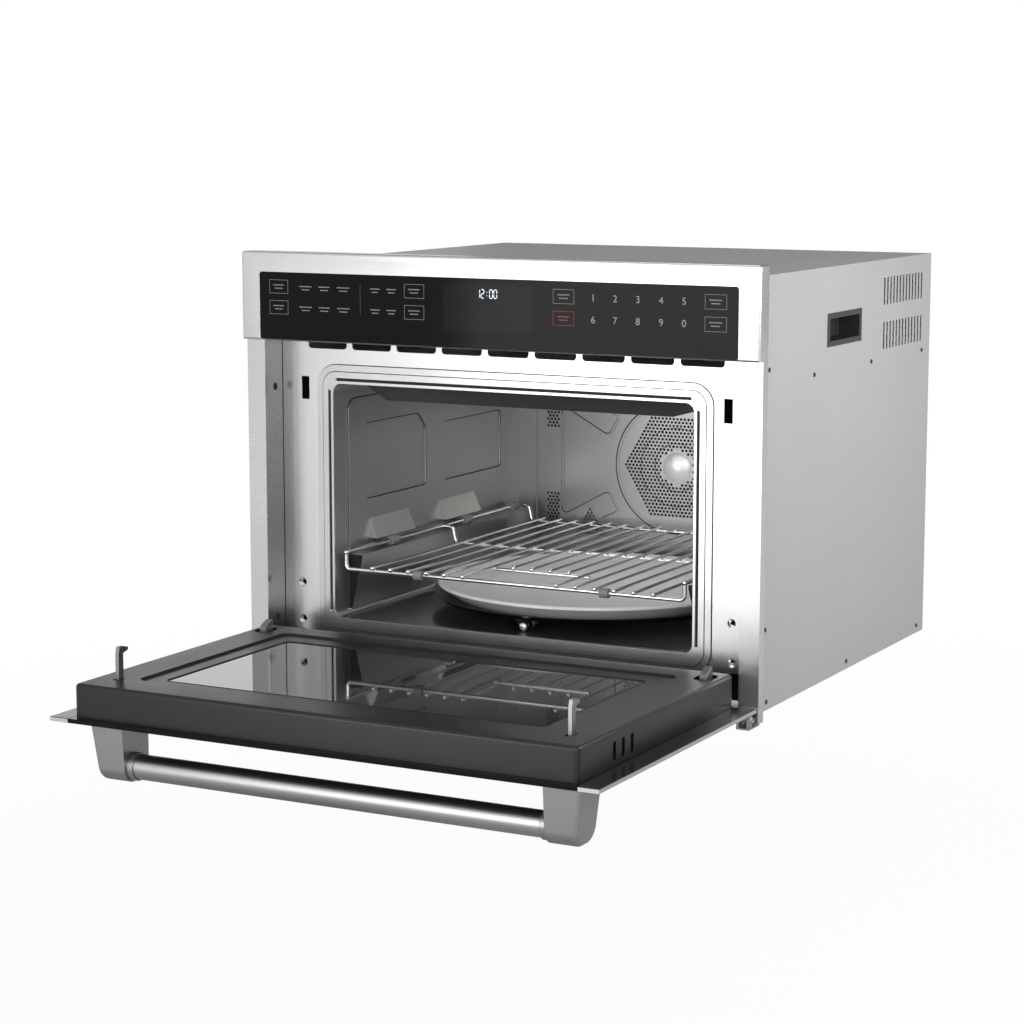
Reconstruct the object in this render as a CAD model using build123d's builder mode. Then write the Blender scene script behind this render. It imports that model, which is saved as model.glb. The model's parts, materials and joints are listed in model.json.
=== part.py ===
from build123d import *
import math
import os

os.makedirs("parts", exist_ok=True)

# Overall sizes, in millimetres. The origin is the middle of the base; +Y is the back, +Z is up.
FRAME_W = 595.0          # width over the front trim
CASE_W = FRAME_W - 40.2  # width of the casing that slides into the cabinet
CASE_H = 439.4           # height of the casing
FRAME_TOP = CASE_H + 13.6  # top of the front trim above the base
CASE_D = 534.2           # depth of the casing behind the cabinet front
CASE_SHEET = 0.7         # casing sheet
FLANGE = 12.5            # how far the front frame stands in front of the cabinet
FLANGE_GAP = 1.3         # between the casing and the frame's flange against the cabinet
SILL = 2.0               # underside of the front frame above the base
CABINET_Y = -CASE_D / 2  # plane of the cabinet front
FACE = CABINET_Y - FLANGE  # front face of the side columns
BACK = CASE_D / 2        # rear face of the casing
GAP = 0.3                # free space between pieces that move past each other
RUN = 0.05               # radial running clearance of pins and shafts

# Front frame and the recess that takes the closed door.
FRAME_SHEET = 1.0
RECESS_W = FRAME_W - 43.1
RECESS_D = 35.0
RETURN_SHEET = 0.7
ROOF = 364.0             # underside of the recess roof
PLATE_SHEET = 1.0
SIDE_SCREW_Y = FACE + 20.5
SIDE_SCREW_LOW = 56.0
SIDE_SCREW_HIGH = 307.0
SIDE_SCREW_R = 2.25
DIMPLE_X = RECESS_W / 2 - 22.95
DIMPLE_Z = (52.5, 93.0)
DIMPLE_R = 4.6
DIMPLE_BORE_R = 2.2
DIMPLE_DEPTH = 3.0
DIMPLE_WALL = 1.2

# Control panel.
TRIM_FRONT = FACE - 9.0
TRIM_BOTTOM = 359.4
TRIM_SHEET = 1.2
TRIM_EDGE_R = 2.5
TRIM_CORNER_R = 3.0
GLASS_W = FRAME_W - 45.0
GLASS_TOP = FRAME_TOP - 21.3
GLASS_T = 4.0
GLASS_INSET = 0.2
GLASS_R = 3.0
GLASS_SEAM = 1.3          # trim below the glass
DISPLAY_W = 104.0
DISPLAY_H = 47.0
DISPLAY_Z = GLASS_TOP - 29.7
DISPLAY_T = 1.8
BOARD_W = 460.0
BOARD_T = 1.6

# Cooling outlets under the control panel.
VENT_COUNT = 9
VENT_W = 47.8
VENT_PITCH = 54.6
VENT_BOTTOM = 348.5
VENT_TOP = 362.0
VENT_R = 4.0
DUCT_D = 90.0

# Cavity.
CAVITY_W = 422.0
CAVITY_D = 424.0
CAVITY_FLOOR = 55.0
CAVITY_CEILING = 312.0
CAVITY_R = 10.0
CAVITY_SHEET = 0.8
MOUTH_BOTTOM = 58.0      # top of the front dam
MOUTH_DAM = 5.0
RIM_T = 1.5
RIM_W = 20.0             # width of the raised rim round the mouth
RIM_R = 23.0
RIM_STEP = 7.5
RIM_STEP_T = 0.6
GROOVE_W = 3.4
GROOVE_OUT = 4.4         # from the mouth's edge to the middle of the groove
GROOVE_T = 1.2
GROOVE_END = 6.0
GROOVE_SIDE = 2.0

CAVITY_FRONT = FACE + RECESS_D
CAVITY_BACK = CAVITY_FRONT + CAVITY_D
CAVITY_MID = CAVITY_FRONT + CAVITY_D / 2
WALL = CAVITY_W / 2

# Pressed forms on the cavity's side walls.
PRESS_T = 1.2
BEAD_W = 8.0
BEAD_FRONT = FACE + 66.5
BEAD_TOP = 288.0
BEAD_BACK = FACE + 440.0
BEAD_R = 12.0
PANEL_FRONT = (FACE + 101.0, FACE + 231.5)
PANEL_REAR = (FACE + 275.0, FACE + 411.0)
PANEL_BOTTOM = 178.8
PANEL_FRONT_TOP = 262.5
PANEL_REAR_TOP = 246.8
PANEL_CUT = 17.0
PANEL_R = 5.0

# Rack and its supports.
RAIL_R = 2.4
CROSS_R = 2.2            # bars across the rack
KNOB_R = 3.0             # rounded corners of the rails
WIRE_R = 1.6
WIRE_PITCH = 22.1
WIRE_COUNT = 16
SHORT_WIRES = 4
RACK_W = 399.2           # between the middles of the side rails
RACK_FRONT = FACE + 39.0
RACK_BACK = FACE + 437.0
RACK_MIDBAR = FACE + 249.0
RACK_SHORT_BAR = FACE + 112.0
RAIL_Z = 129.0
BAR_Z = 111.0
BAR_STEP = 13.6
BAR_LEAN = 4.0
BAR_BEND_R = 5.0
BALL_R = 2.7
WELD = 0.4               # how far welded wires sink into each other
BUSH_R = 5.2
BUSH_L = 14.0
BUSH_Y = (FACE + 138.0, FACE + 307.0, FACE + 423.0)
FRONT_BUSH_X = 110.0
FRONT_BUSH_L = 10.0
SUPPORT_Y = ((FACE + 106.0, FACE + 190.0), (FACE + 260.0, FACE + 344.0))
SUPPORT_OUT = 10.0
SUPPORT_H = 22.0
LEDGE_Y = (FACE + 62.0, FACE + 398.0)
LEDGE_OUT = 18.0         # shelf under the rack's bushings
LEDGE_LIP = 4.5
LEDGE_FOOT = 62.0
LEDGE_FOOT_OUT = 3.0

# Rear wall, convection fan and its grille.
FAN_Z = 184.0
GRILLE_R = 71.0          # corner radius of the six-sided field of holes
GRILLE_PITCH = 4.75
HOLE_R = 1.6
CAP_R = 18.0
CAP_H = 5.0
RING_R = 77.2
TRACE_W = 2.6
TRACE_T = 0.9
HOUSING_R = 100.0
HOUSING_D = 34.0
FAN_R = 80.0
FAN_W = 16.0
FAN_BLADES = 12
SHAFT_R = 3.0
COIL_R = 90.0
COIL_TUBE_R = 3.2
FAN_MOTOR_R = 36.0

# Heater above the cavity and its cover.
COVER_BOTTOM = 292.0
COVER_LOW = (337.6, 346.0)
COVER_HIGH = (388.0, 368.0)
COVER_SHEET = 1.0
GRILL_Z = 303.0
GRILL_W = 240.0
GRILL_D = 230.0
GRILL_BEND_R = 30.0
GRILL_TURN_R = 4.8       # bend at the heater's ends

# Turntable.
TRAY_R = 178.0
TRAY_BASE_R = 158.0
TRAY_TOP = 84.5
TRAY_T = 8.0
TRAY_RIM = 5.0
TRAY_EDGE = 3.0
TRAY_EDGE_R = 1.5
PAN_R = 184.0
PAN_BASE = 67.0
PAN_SHEET = 1.5
PAN_TOP = 73.0
ROLLER_R = 5.6
ROLLER_AXIS_R = 176.0
ROLLER_PIN_R = 1.0
ROLLER_COUNT = 3
CHEEK_T = 1.5
CHEEK_TOP_W = 32.0
CHEEK_LOW_W = 9.0
HUB_R = 15.0
HUB_CORE_R = 9.0
HUB_LOBES = 3
HUB_LOBE_R = 6.0
HUB_T = 7.0
HUB_SHAFT_R = 4.0
HUB_HOLE_R = 6.0
MOTOR_R = 24.5
MOTOR_BOTTOM = 36.0

# Door, drawn open. Its parts are measured from the hinge axis.
PIVOT_Y = FACE - 10.2
PIVOT_Z = 9.2
DOOR_W = FRAME_W - 2.0
DOOR_FRONT = FACE - 353.5
DOOR_BACK = FACE - 1.5
DOOR_OUTER = 13.8        # underside of the open door
PANEL_T = 4.4
DOOR_INNER = DOOR_OUTER + PANEL_T
DOOR_EDGE_CUT = (4.6, 4.0)
SIDE_BAR_W = 21.0
BOX_W = DOOR_W - 47.0
BOX_FRONT = FACE - 346.0
BOX_BACK = FACE - 5.0
BOX_TOP = 51.5
BOX_WALL = 3.0
BOX_EDGE_R = 4.0
BOX_CORNER_R = 6.0
WINDOW_W = BOX_W - 86.0
WINDOW_FRONT = FACE - 304.0
WINDOW_BACK = FACE - 38.0
WINDOW_R = 12.0
WINDOW_GROOVE = 2.4
BAND_FLANGE = 6.0        # band held under the frame
BAND_SINK = 2.2
BAND_LEDGE_T = 2.0
PANE_R = 6.0
PANE_W = WINDOW_W - 45.0
PANE_FRONT = FACE - 285.0
PANE_BACK = FACE - 67.0
PANE_T = 4.0
PANE_SINK = 0.6
PANE_LEDGE = 5.0
SCREEN_T = 0.6
SCREEN_HOLE_R = 4.0
SCREEN_PITCH = 17.0
SCREEN_HOLES = (23, 11)
DOOR_VENT_Y = (FACE - 274.4, FACE - 256.0, FACE - 237.5)
DOOR_VENT_W = 6.0
DOOR_VENT_Z = (23.0, 41.4)

# Door hinges.
EAR_R = 4.2
PIN_R = 2.0
HINGE_X = DOOR_W / 2 - 9.5
KNUCKLE_W = 7.4
EAR_W = 3.0
LEAF_L = 26.0
LEAF_T = 2.2
BRACKET_T = 1.8
CLAW_X = BOX_W / 2 - 17.0
CLAW_T = 8.0
CLAW_SLOT_W = 20.0
CLAW_SLOT_Y = (FACE - 49.0, FACE - 20.0)
CLAW_Y = (FACE - 41.2, FACE - 27.0)
CLAW_SWING_R = 55.4      # from the hinge axis to the claw's rounded top
PLATE_SLOT_Z = (15.0, 42.0)
PLATE_SLOT_W = 12.0
PLATE_SLOT_R = 2.0

# Door latch.
LATCH_X = BOX_W / 2 - 26.3
LATCH_T = 4.0
LATCH_STEM = (FACE - 311.0, FACE - 303.0)
LATCH_TOP = 83.5
LATCH_HEAD = 8.0
LATCH_HEAD_H = 7.0
LATCH_NOSE = 2.0
LATCH_PIVOT_Z = 30.0
LATCH_PIVOT_R = 2.5
LATCH_SLOT_W = 7.0
LATCH_SLOT_Y = (FACE - 315.5, FACE - 301.5)
KEYHOLE_W = 9.4
KEYHOLE_Z = (293.5, 318.0)

# Handle.
BAR_R = 12.5
BAR_WALL = 1.5
BAR_Y = FACE - 310.0
BAR_Z_AXIS = -33.0
STANDOFF_IN = DOOR_W / 2 - 67.5
STANDOFF_W = 39.5
STANDOFF_FRONT = FACE - 330.0
STANDOFF_BACK = FACE - 286.0
STANDOFF_WALL = 3.0
STANDOFF_EDGE_R = 5.0
STANDOFF_TAPER = 8.0
STANDOFF_R = BAR_R + STANDOFF_WALL
STANDOFF_LOW = BAR_Z_AXIS - STANDOFF_R
COLLAR_R = 14.0
COLLAR_L = 7.0

# Casing details.
SLOT_COUNT = 13
SLOT_PITCH = 10.15
SLOT_W = 4.5
SLOT_H = 29.9
SLOT_R = 1.4
SLOT_FRONT = FACE + 393.2
SLOT_Z = (CASE_H - 83.6, CASE_H - 34.8)
GRIP_Y = (FACE + 221.3, FACE + 321.0)
GRIP_Z = (CASE_H - 83.6, CASE_H - 48.4)
GRIP_LIP = 4.0
GRIP_PROUD = 1.0
GRIP_D = 26.0
GRIP_WALL = 2.0
SCREW_R = 2.4
SCREW_H = 0.8
SCREW_ROW = CASE_H - 108.9
CASING_SCREWS = (
    (FACE + 64.2, CASE_H - 93.8), (FACE + 186.1, SCREW_ROW), (FACE + 354.7, SCREW_ROW),
    (FACE + 519.7, SCREW_ROW),
    (FACE + 63.1, 83.8), (FACE + 68.6, 8.8), (FACE + 295.3, 8.8), (FACE + 523.8, 8.8),
)
REAR_EDGE = 11.4         # rear screws from the casing's edges
REAR_X = CASE_W / 2 - REAR_EDGE
REAR_SCREWS = (
    (REAR_X, REAR_EDGE), (REAR_X, CASE_H / 2), (REAR_X, CASE_H - REAR_EDGE),
    (90.0, REAR_EDGE), (90.0, CASE_H - REAR_EDGE),
)
GLAND_X = 190.0
GLAND_Z = 60.0
GLAND_R = 9.0


def block(x, y, z, mode=Mode.ADD):
    """A box between two x, two y and two z values."""
    lows = [min(pair) for pair in (x, y, z)]
    highs = [max(pair) for pair in (x, y, z)]
    middle = [(low + high) / 2 for low, high in zip(lows, highs)]
    with Locations(tuple(middle)):
        Box(*[high - low for low, high in zip(lows, highs)], mode=mode)


def rod(start, end, radius, mode=Mode.ADD):
    """A round bar from one point to another."""
    run = Vector(*end) - Vector(*start)
    with Locations(Plane(origin=start, z_dir=run).location):
        Cylinder(radius, run.length, align=(Align.CENTER, Align.CENTER, Align.MIN), mode=mode)


def wire(points, radius, bends):
    """A round wire along straight runs joined by bends."""
    with BuildLine() as path:
        FilletPolyline(*points, radius=bends)
    with BuildSketch(path.line ^ 0) as section:
        Circle(radius)
    sweep(sections=section.sketch, path=path.line)


def save(piece, name):
    """Label a finished piece and write it out."""
    piece.part.label = name
    export_step(piece.part, f"parts/{name}.step")


SIDES = (("left", -1), ("right", 1))
HALF_FRAME = FRAME_W / 2
HALF_CASE = CASE_W / 2
HALF_RECESS = RECESS_W / 2
CASE_IN = HALF_CASE - CASE_SHEET

# Front frame: two folded columns, their returns into the recess, the sill and the recess roof.
with BuildPart() as front_frame:
    for _, s in SIDES:
        block((s * HALF_RECESS, s * HALF_FRAME), (FACE, FACE + FRAME_SHEET), (SILL, TRIM_BOTTOM))
        block((s * (HALF_FRAME - FRAME_SHEET), s * HALF_FRAME), (FACE, CABINET_Y), (SILL, TRIM_BOTTOM))
        block((s * (HALF_CASE + FLANGE_GAP), s * HALF_FRAME), (CABINET_Y - FRAME_SHEET, CABINET_Y),
              (SILL, TRIM_BOTTOM))
        block((s * HALF_RECESS, s * HALF_FRAME), (FACE, CABINET_Y - FRAME_SHEET), (SILL, SILL + FRAME_SHEET))
        block((s * HALF_RECESS, s * (HALF_RECESS + RETURN_SHEET)), (FACE, CAVITY_FRONT),
              (SILL, ROOF + FRAME_SHEET))
    block((-HALF_RECESS, HALF_RECESS), (FACE, CAVITY_FRONT), (SILL, SILL + FRAME_SHEET))
    block((-HALF_RECESS, HALF_RECESS), (FACE, CAVITY_FRONT), (ROOF, ROOF + FRAME_SHEET))
    with BuildSketch(Plane.YZ):
        with Locations((SIDE_SCREW_Y, SIDE_SCREW_LOW), (SIDE_SCREW_Y, SIDE_SCREW_HIGH)):
            Circle(SIDE_SCREW_R)
    extrude(amount=HALF_FRAME, both=True, mode=Mode.SUBTRACT)
save(front_frame, "front_frame")

# Outline of the cavity mouth, shared by the liner and the front plate.
LINER_LOW = CAVITY_FLOOR - CAVITY_SHEET
LINER_HIGH = CAVITY_CEILING + CAVITY_SHEET
LINER_W = CAVITY_W + 2 * CAVITY_SHEET
FRONT_PLANE = Plane.XZ.offset(-CAVITY_FRONT)


def mouth(width, low, high, radius):
    """A rounded rectangle, centred on the cavity, between two heights."""
    with Locations((0, (low + high) / 2)):
        RectangleRounded(width, high - low, radius)


# Front plate behind the door, with the mouth, cooling outlets, latch keyholes and dimpled holes.
with BuildPart() as front_plate:
    block((-HALF_RECESS - RETURN_SHEET, HALF_RECESS + RETURN_SHEET),
          (CAVITY_FRONT, CAVITY_FRONT + PLATE_SHEET), (SILL, ROOF + FRAME_SHEET))
    with BuildSketch(FRONT_PLANE):
        with Locations(*[(s * DIMPLE_X, z) for _, s in SIDES for z in DIMPLE_Z]):
            Circle(DIMPLE_R + DIMPLE_WALL)
    extrude(amount=-PLATE_SHEET - DIMPLE_DEPTH)
    with BuildSketch(FRONT_PLANE):
        mouth(LINER_W, LINER_LOW, LINER_HIGH, CAVITY_R + CAVITY_SHEET)
        with Locations((0, (VENT_BOTTOM + VENT_TOP) / 2)):
            with GridLocations(VENT_PITCH, 1, VENT_COUNT, 1):
                RectangleRounded(VENT_W, VENT_TOP - VENT_BOTTOM, VENT_R)
        for _, s in SIDES:
            with Locations((s * LATCH_X, sum(KEYHOLE_Z) / 2)):
                Rectangle(KEYHOLE_W, KEYHOLE_Z[1] - KEYHOLE_Z[0])
            with Locations((s * CLAW_X, sum(PLATE_SLOT_Z) / 2)):
                RectangleRounded(PLATE_SLOT_W, PLATE_SLOT_Z[1] - PLATE_SLOT_Z[0], PLATE_SLOT_R)
    extrude(amount=-PLATE_SHEET, mode=Mode.SUBTRACT)
    with Locations(FRONT_PLANE):
        with Locations(*[(s * DIMPLE_X, z) for _, s in SIDES for z in DIMPLE_Z]):
            CounterSinkHole(DIMPLE_BORE_R, DIMPLE_R, depth=PLATE_SHEET + DIMPLE_DEPTH)
save(front_plate, "front_plate")

# Cavity liner: four walls, the raised rim round the mouth, and the pressed forms.
SUPPORT_FOOT = RAIL_Z + BUSH_R + GAP
LEDGE_TOP = RAIL_Z - BUSH_R - GAP
with BuildPart() as cavity_liner:
    with BuildSketch(FRONT_PLANE):
        mouth(LINER_W, LINER_LOW, LINER_HIGH, CAVITY_R + CAVITY_SHEET)
    extrude(amount=-CAVITY_D)
    with BuildSketch(FRONT_PLANE):
        mouth(CAVITY_W, CAVITY_FLOOR, CAVITY_CEILING, CAVITY_R)
    extrude(amount=-CAVITY_D, mode=Mode.SUBTRACT)
    block((-WALL + CAVITY_R, WALL - CAVITY_R), (CAVITY_FRONT, CAVITY_FRONT + MOUTH_DAM),
          (CAVITY_FLOOR, MOUTH_BOTTOM))
    for inset, height in ((0, RIM_T), (RIM_STEP, RIM_T + RIM_STEP_T)):
        with BuildSketch(FRONT_PLANE):
            mouth(CAVITY_W + 2 * (RIM_W - inset), MOUTH_BOTTOM - RIM_W + inset,
                  CAVITY_CEILING + RIM_W - inset, RIM_R - inset)
        extrude(amount=height)
    with BuildSketch(FRONT_PLANE):
        mouth(CAVITY_W, MOUTH_BOTTOM, CAVITY_CEILING, CAVITY_R)
    extrude(amount=RIM_T + RIM_STEP_T, mode=Mode.SUBTRACT)
    with BuildSketch(FRONT_PLANE.offset(RIM_T + RIM_STEP_T)):
        with Locations((0, CAVITY_CEILING + GROOVE_OUT)):
            SlotOverall(CAVITY_W - 2 * GROOVE_SIDE, GROOVE_W)
        for _, s in SIDES:
            with Locations((s * (WALL + GROOVE_OUT), (MOUTH_BOTTOM + CAVITY_CEILING) / 2)):
                SlotOverall(CAVITY_CEILING - MOUTH_BOTTOM - 2 * GROOVE_END, GROOVE_W, rotation=90)
    extrude(amount=-GROOVE_T, mode=Mode.SUBTRACT)
    for _, s in SIDES:
        with BuildSketch(Plane.YZ.offset(s * WALL)):
            with BuildLine():
                FilletPolyline((BEAD_FRONT, LEDGE_TOP), (BEAD_FRONT, BEAD_TOP), (BEAD_BACK, BEAD_TOP),
                               radius=BEAD_R)
            trace(line_width=BEAD_W)
        extrude(amount=-s * PRESS_T)
        for grow, sunk, mode in ((CAVITY_SHEET, PRESS_T + CAVITY_SHEET, Mode.ADD),
                                 (0.0, PRESS_T, Mode.SUBTRACT)):
            with BuildSketch(Plane.YZ.offset(s * WALL)):
                with BuildLine():
                    FilletPolyline((PANEL_FRONT[0] - grow, PANEL_BOTTOM - grow),
                                   (PANEL_FRONT[0] - grow, PANEL_FRONT_TOP + grow),
                                   (PANEL_FRONT[1] - PANEL_CUT, PANEL_FRONT_TOP + grow),
                                   (PANEL_FRONT[1] + grow, PANEL_FRONT_TOP - PANEL_CUT),
                                   (PANEL_FRONT[1] + grow, PANEL_BOTTOM - grow), radius=PANEL_R, close=True)
                make_face()
                with Locations((sum(PANEL_REAR) / 2, (PANEL_BOTTOM + PANEL_REAR_TOP) / 2)):
                    RectangleRounded(PANEL_REAR[1] - PANEL_REAR[0] + 2 * grow,
                                     PANEL_REAR_TOP - PANEL_BOTTOM + 2 * grow, PANEL_R)
            extrude(amount=s * sunk, mode=mode)
        for front, back in SUPPORT_Y:
            with BuildSketch(Plane.XZ.offset(-front)):
                with BuildLine():
                    Polyline((s * WALL, SUPPORT_FOOT), (s * (WALL - SUPPORT_OUT), SUPPORT_FOOT),
                             (s * WALL, SUPPORT_FOOT + SUPPORT_H), close=True)
                make_face()
            extrude(amount=front - back)
        for shrink, mode in ((0.0, Mode.ADD), (CAVITY_SHEET, Mode.SUBTRACT)):
            edge = s * (WALL + shrink)
            nose = s * (WALL - LEDGE_OUT + shrink)
            with BuildSketch(Plane.XZ.offset(-LEDGE_Y[0] - shrink)):
                with BuildLine():
                    Polyline((edge, LEDGE_TOP - shrink), (nose, LEDGE_TOP - shrink),
                             (nose, LEDGE_TOP - LEDGE_LIP), (edge - s * LEDGE_FOOT_OUT, LEDGE_FOOT + shrink),
                             (edge, LEDGE_FOOT + shrink), close=True)
                make_face()
            extrude(amount=LEDGE_Y[0] - LEDGE_Y[1] + 2 * shrink, mode=mode)
    rod((0, CAVITY_MID, LINER_LOW), (0, CAVITY_MID, CAVITY_FLOOR), HUB_HOLE_R, Mode.SUBTRACT)
save(cavity_liner, "cavity_liner")

# Rear wall of the cavity, with the fan's field of holes, side fields and pressed outlines.
REAR_SHEET = 1.0
REAR_PLANE = Plane.XZ.offset(-CAVITY_BACK)
FIELD_SIDE = (156.0, 172.0)
FIELD_LEVELS = ((107.0, 146.0), (225.0, 264.0))
FIELD_PEAK = (113.0, 132.0)
FIELD_SLOPE = 0.55
FIELD_BOTTOM = 97.0
OUTLINE = ((97.0, 116.0), (74.0, 126.0), (89.0, 152.7), (150.5, 119.4))
OUTLINE_R = 7.0
CORNER_BEAD_X = 186.0
CORNER_BEAD_T = 2.0


def holed(x, z):
    """True where the rear wall is perforated."""
    across, height = abs(x), abs(z - FAN_Z)
    apothem = GRILLE_R * math.cos(math.pi / 6) - HOLE_R
    slanted = across * math.cos(math.pi / 6) + height * math.sin(math.pi / 6)
    if max(height, slanted) <= apothem:
        return math.hypot(across, height) > CAP_R + 2 * HOLE_R
    if FIELD_SIDE[0] <= across <= FIELD_SIDE[1]:
        return any(low <= z <= high for low, high in FIELD_LEVELS)
    return FIELD_BOTTOM <= z and abs(across - FIELD_PEAK[0]) <= FIELD_SLOPE * (FIELD_PEAK[1] - z)


ROW_STEP = GRILLE_PITCH * math.sqrt(3) / 2
COLUMNS = int(WALL / GRILLE_PITCH)
ROWS = int((CAVITY_CEILING - FAN_Z) / ROW_STEP)
LATTICE = [
    ((column + (row % 2) / 2) * GRILLE_PITCH, FAN_Z + row * ROW_STEP)
    for row in range(-ROWS, ROWS)
    for column in range(-COLUMNS, COLUMNS)
]
with BuildPart() as cavity_rear_wall:
    with BuildSketch(REAR_PLANE):
        mouth(LINER_W, LINER_LOW, LINER_HIGH, CAVITY_R + CAVITY_SHEET)
        with Locations(*[point for point in LATTICE if holed(*point)]):
            Circle(HOLE_R, mode=Mode.SUBTRACT)
    extrude(amount=-REAR_SHEET)
    with BuildSketch(REAR_PLANE):
        with Locations((0, FAN_Z)):
            Circle(RING_R + TRACE_W / 2)
            Circle(RING_R - TRACE_W / 2, mode=Mode.SUBTRACT)
        for _, s in SIDES:
            lower = [(s * x, z) for x, z in OUTLINE]
            upper = [(x, 2 * FAN_Z - z) for x, z in reversed(lower)]
            with BuildLine():
                FilletPolyline(*lower, *upper, radius=OUTLINE_R)
            trace(line_width=TRACE_W)
    extrude(amount=TRACE_T)
    for _, s in SIDES:
        block((s * CORNER_BEAD_X, s * (CORNER_BEAD_X + TRACE_W)), (CAVITY_BACK - CORNER_BEAD_T, CAVITY_BACK),
              (CAVITY_FLOOR + CAVITY_R, CAVITY_CEILING - CAVITY_R))
save(cavity_rear_wall, "cavity_rear_wall")

# Domed cap in the middle of the grille.
CAP_ARC_R = (CAP_R ** 2 + CAP_H ** 2) / (2 * CAP_H)
FAN_AXIS = Axis((0, 0, FAN_Z), (0, 1, 0))
with BuildPart() as fan_cap:
    with BuildSketch(Plane.XY.offset(FAN_Z)):
        with BuildLine():
            Line((0, CAVITY_BACK - CAP_H), (0, CAVITY_BACK))
            Line((0, CAVITY_BACK), (CAP_R, CAVITY_BACK))
            RadiusArc((CAP_R, CAVITY_BACK), (0, CAVITY_BACK - CAP_H), CAP_ARC_R)
        make_face()
    revolve(axis=FAN_AXIS)
save(fan_cap, "fan_cap")

# Convection fan behind the rear wall: housing, ring heater, motor and bladed fan on its shaft.
HOUSING_FRONT = CAVITY_BACK + REAR_SHEET
HOUSING_BACK = HOUSING_FRONT + HOUSING_D
FAN_BACK = HOUSING_BACK - 8.0
FAN_MOTOR_L = 44.0
FAN_SHAFT_IN = 28.0      # shaft inside the motor
HUB_FAN_R = 12.0
FAN_TIP = 2.0            # blade tips inside the fan's disc


def fan_rod(front, back, radius, mode=Mode.ADD):
    """A round bar on the convection fan's axis."""
    rod((0, front, FAN_Z), (0, back, FAN_Z), radius, mode)


with BuildPart() as convection_housing:
    fan_rod(HOUSING_FRONT, HOUSING_BACK, HOUSING_R)
    fan_rod(HOUSING_FRONT, HOUSING_BACK - REAR_SHEET, HOUSING_R - REAR_SHEET, Mode.SUBTRACT)
    fan_rod(HOUSING_FRONT, HOUSING_BACK, SHAFT_R + RUN, Mode.SUBTRACT)
save(convection_housing, "convection_housing")

with BuildPart() as convection_motor:
    fan_rod(HOUSING_BACK, HOUSING_BACK + FAN_MOTOR_L, FAN_MOTOR_R)
    fan_rod(HOUSING_BACK, HOUSING_BACK + FAN_SHAFT_IN + GAP, SHAFT_R + RUN, Mode.SUBTRACT)
save(convection_motor, "convection_motor")

with BuildPart() as convection_fan:
    fan_rod(FAN_BACK - FAN_W, HOUSING_BACK + FAN_SHAFT_IN, SHAFT_R)
    fan_rod(FAN_BACK - FAN_W, FAN_BACK, HUB_FAN_R)
    fan_rod(FAN_BACK - REAR_SHEET, FAN_BACK, FAN_R)
    with BuildSketch(Plane.XZ.offset(-FAN_BACK)):
        with Locations((0, FAN_Z)):
            with PolarLocations((HUB_FAN_R + FAN_R) / 2 - FAN_TIP, FAN_BLADES):
                Rectangle(FAN_R - HUB_FAN_R, REAR_SHEET)
    extrude(amount=FAN_W)
save(convection_fan, "convection_fan")

COIL_Y = HOUSING_FRONT + HOUSING_D / 2
with BuildPart() as convection_heater:
    with Locations(Plane(origin=(0, COIL_Y, FAN_Z), z_dir=(0, 1, 0)).location):
        Torus(COIL_R, COIL_TUBE_R)
    for _, s in SIDES:
        rod((s * COIL_R, COIL_Y, FAN_Z), (s * COIL_R, HOUSING_BACK - REAR_SHEET, FAN_Z), COIL_TUBE_R)
save(convection_heater, "convection_heater")

# Heater under the ceiling and its sloping cover.
with BuildPart() as heater_cover:
    for trim_off, lift, mode in ((0, 0, Mode.ADD), (COVER_SHEET, COVER_SHEET, Mode.SUBTRACT)):
        with BuildSketch(Plane.XY.offset(COVER_BOTTOM + lift)) as low:
            with Locations((0, CAVITY_MID)):
                Rectangle(COVER_LOW[0] - 2 * trim_off, COVER_LOW[1] - 2 * trim_off)
        with BuildSketch(Plane.XY.offset(CAVITY_CEILING)) as high:
            with Locations((0, CAVITY_MID)):
                Rectangle(COVER_HIGH[0] - 3 * trim_off, COVER_HIGH[1] - 3 * trim_off)
        loft(sections=[low.sketch, high.sketch], mode=mode)
save(heater_cover, "heater_cover")

with BuildPart() as grill_heater:
    near, far = CAVITY_MID - GRILL_D / 2, CAVITY_MID + GRILL_D / 2
    wire([(-GRILL_W / 2, near, CAVITY_CEILING), (-GRILL_W / 2, near, GRILL_Z), (-GRILL_W / 2, far, GRILL_Z),
          (GRILL_W / 2, far, GRILL_Z), (GRILL_W / 2, near, GRILL_Z), (GRILL_W / 2, near, CAVITY_CEILING)],
         COIL_TUBE_R, [GRILL_TURN_R, GRILL_BEND_R, GRILL_BEND_R, GRILL_TURN_R])
save(grill_heater, "grill_heater")

# Control panel: stainless surround, black glass, display and board.
with BuildPart() as control_panel_trim:
    block((-HALF_FRAME, HALF_FRAME), (TRIM_FRONT, CABINET_Y), (TRIM_BOTTOM, FRAME_TOP))
    fillet(control_panel_trim.edges().filter_by(Axis.Y).group_by(Axis.Z)[-1], TRIM_CORNER_R)
    fillet(control_panel_trim.faces().sort_by(Axis.Y)[0].edges(), TRIM_EDGE_R)
    block((-HALF_FRAME + TRIM_SHEET, HALF_FRAME - TRIM_SHEET),
          (TRIM_FRONT + TRIM_SHEET, CABINET_Y - TRIM_SHEET),
          (TRIM_BOTTOM + TRIM_SHEET, FRAME_TOP - TRIM_SHEET), Mode.SUBTRACT)
    block((-HALF_CASE - GAP, HALF_CASE + GAP), (FACE, CABINET_Y), (TRIM_BOTTOM, CASE_H + GAP), Mode.SUBTRACT)
    with BuildSketch(Plane.XZ.offset(-TRIM_FRONT)):
        mouth(GLASS_W, TRIM_BOTTOM + GLASS_SEAM, GLASS_TOP, GLASS_R)
    extrude(amount=-TRIM_SHEET, mode=Mode.SUBTRACT)
save(control_panel_trim, "control_panel_trim")

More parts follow.
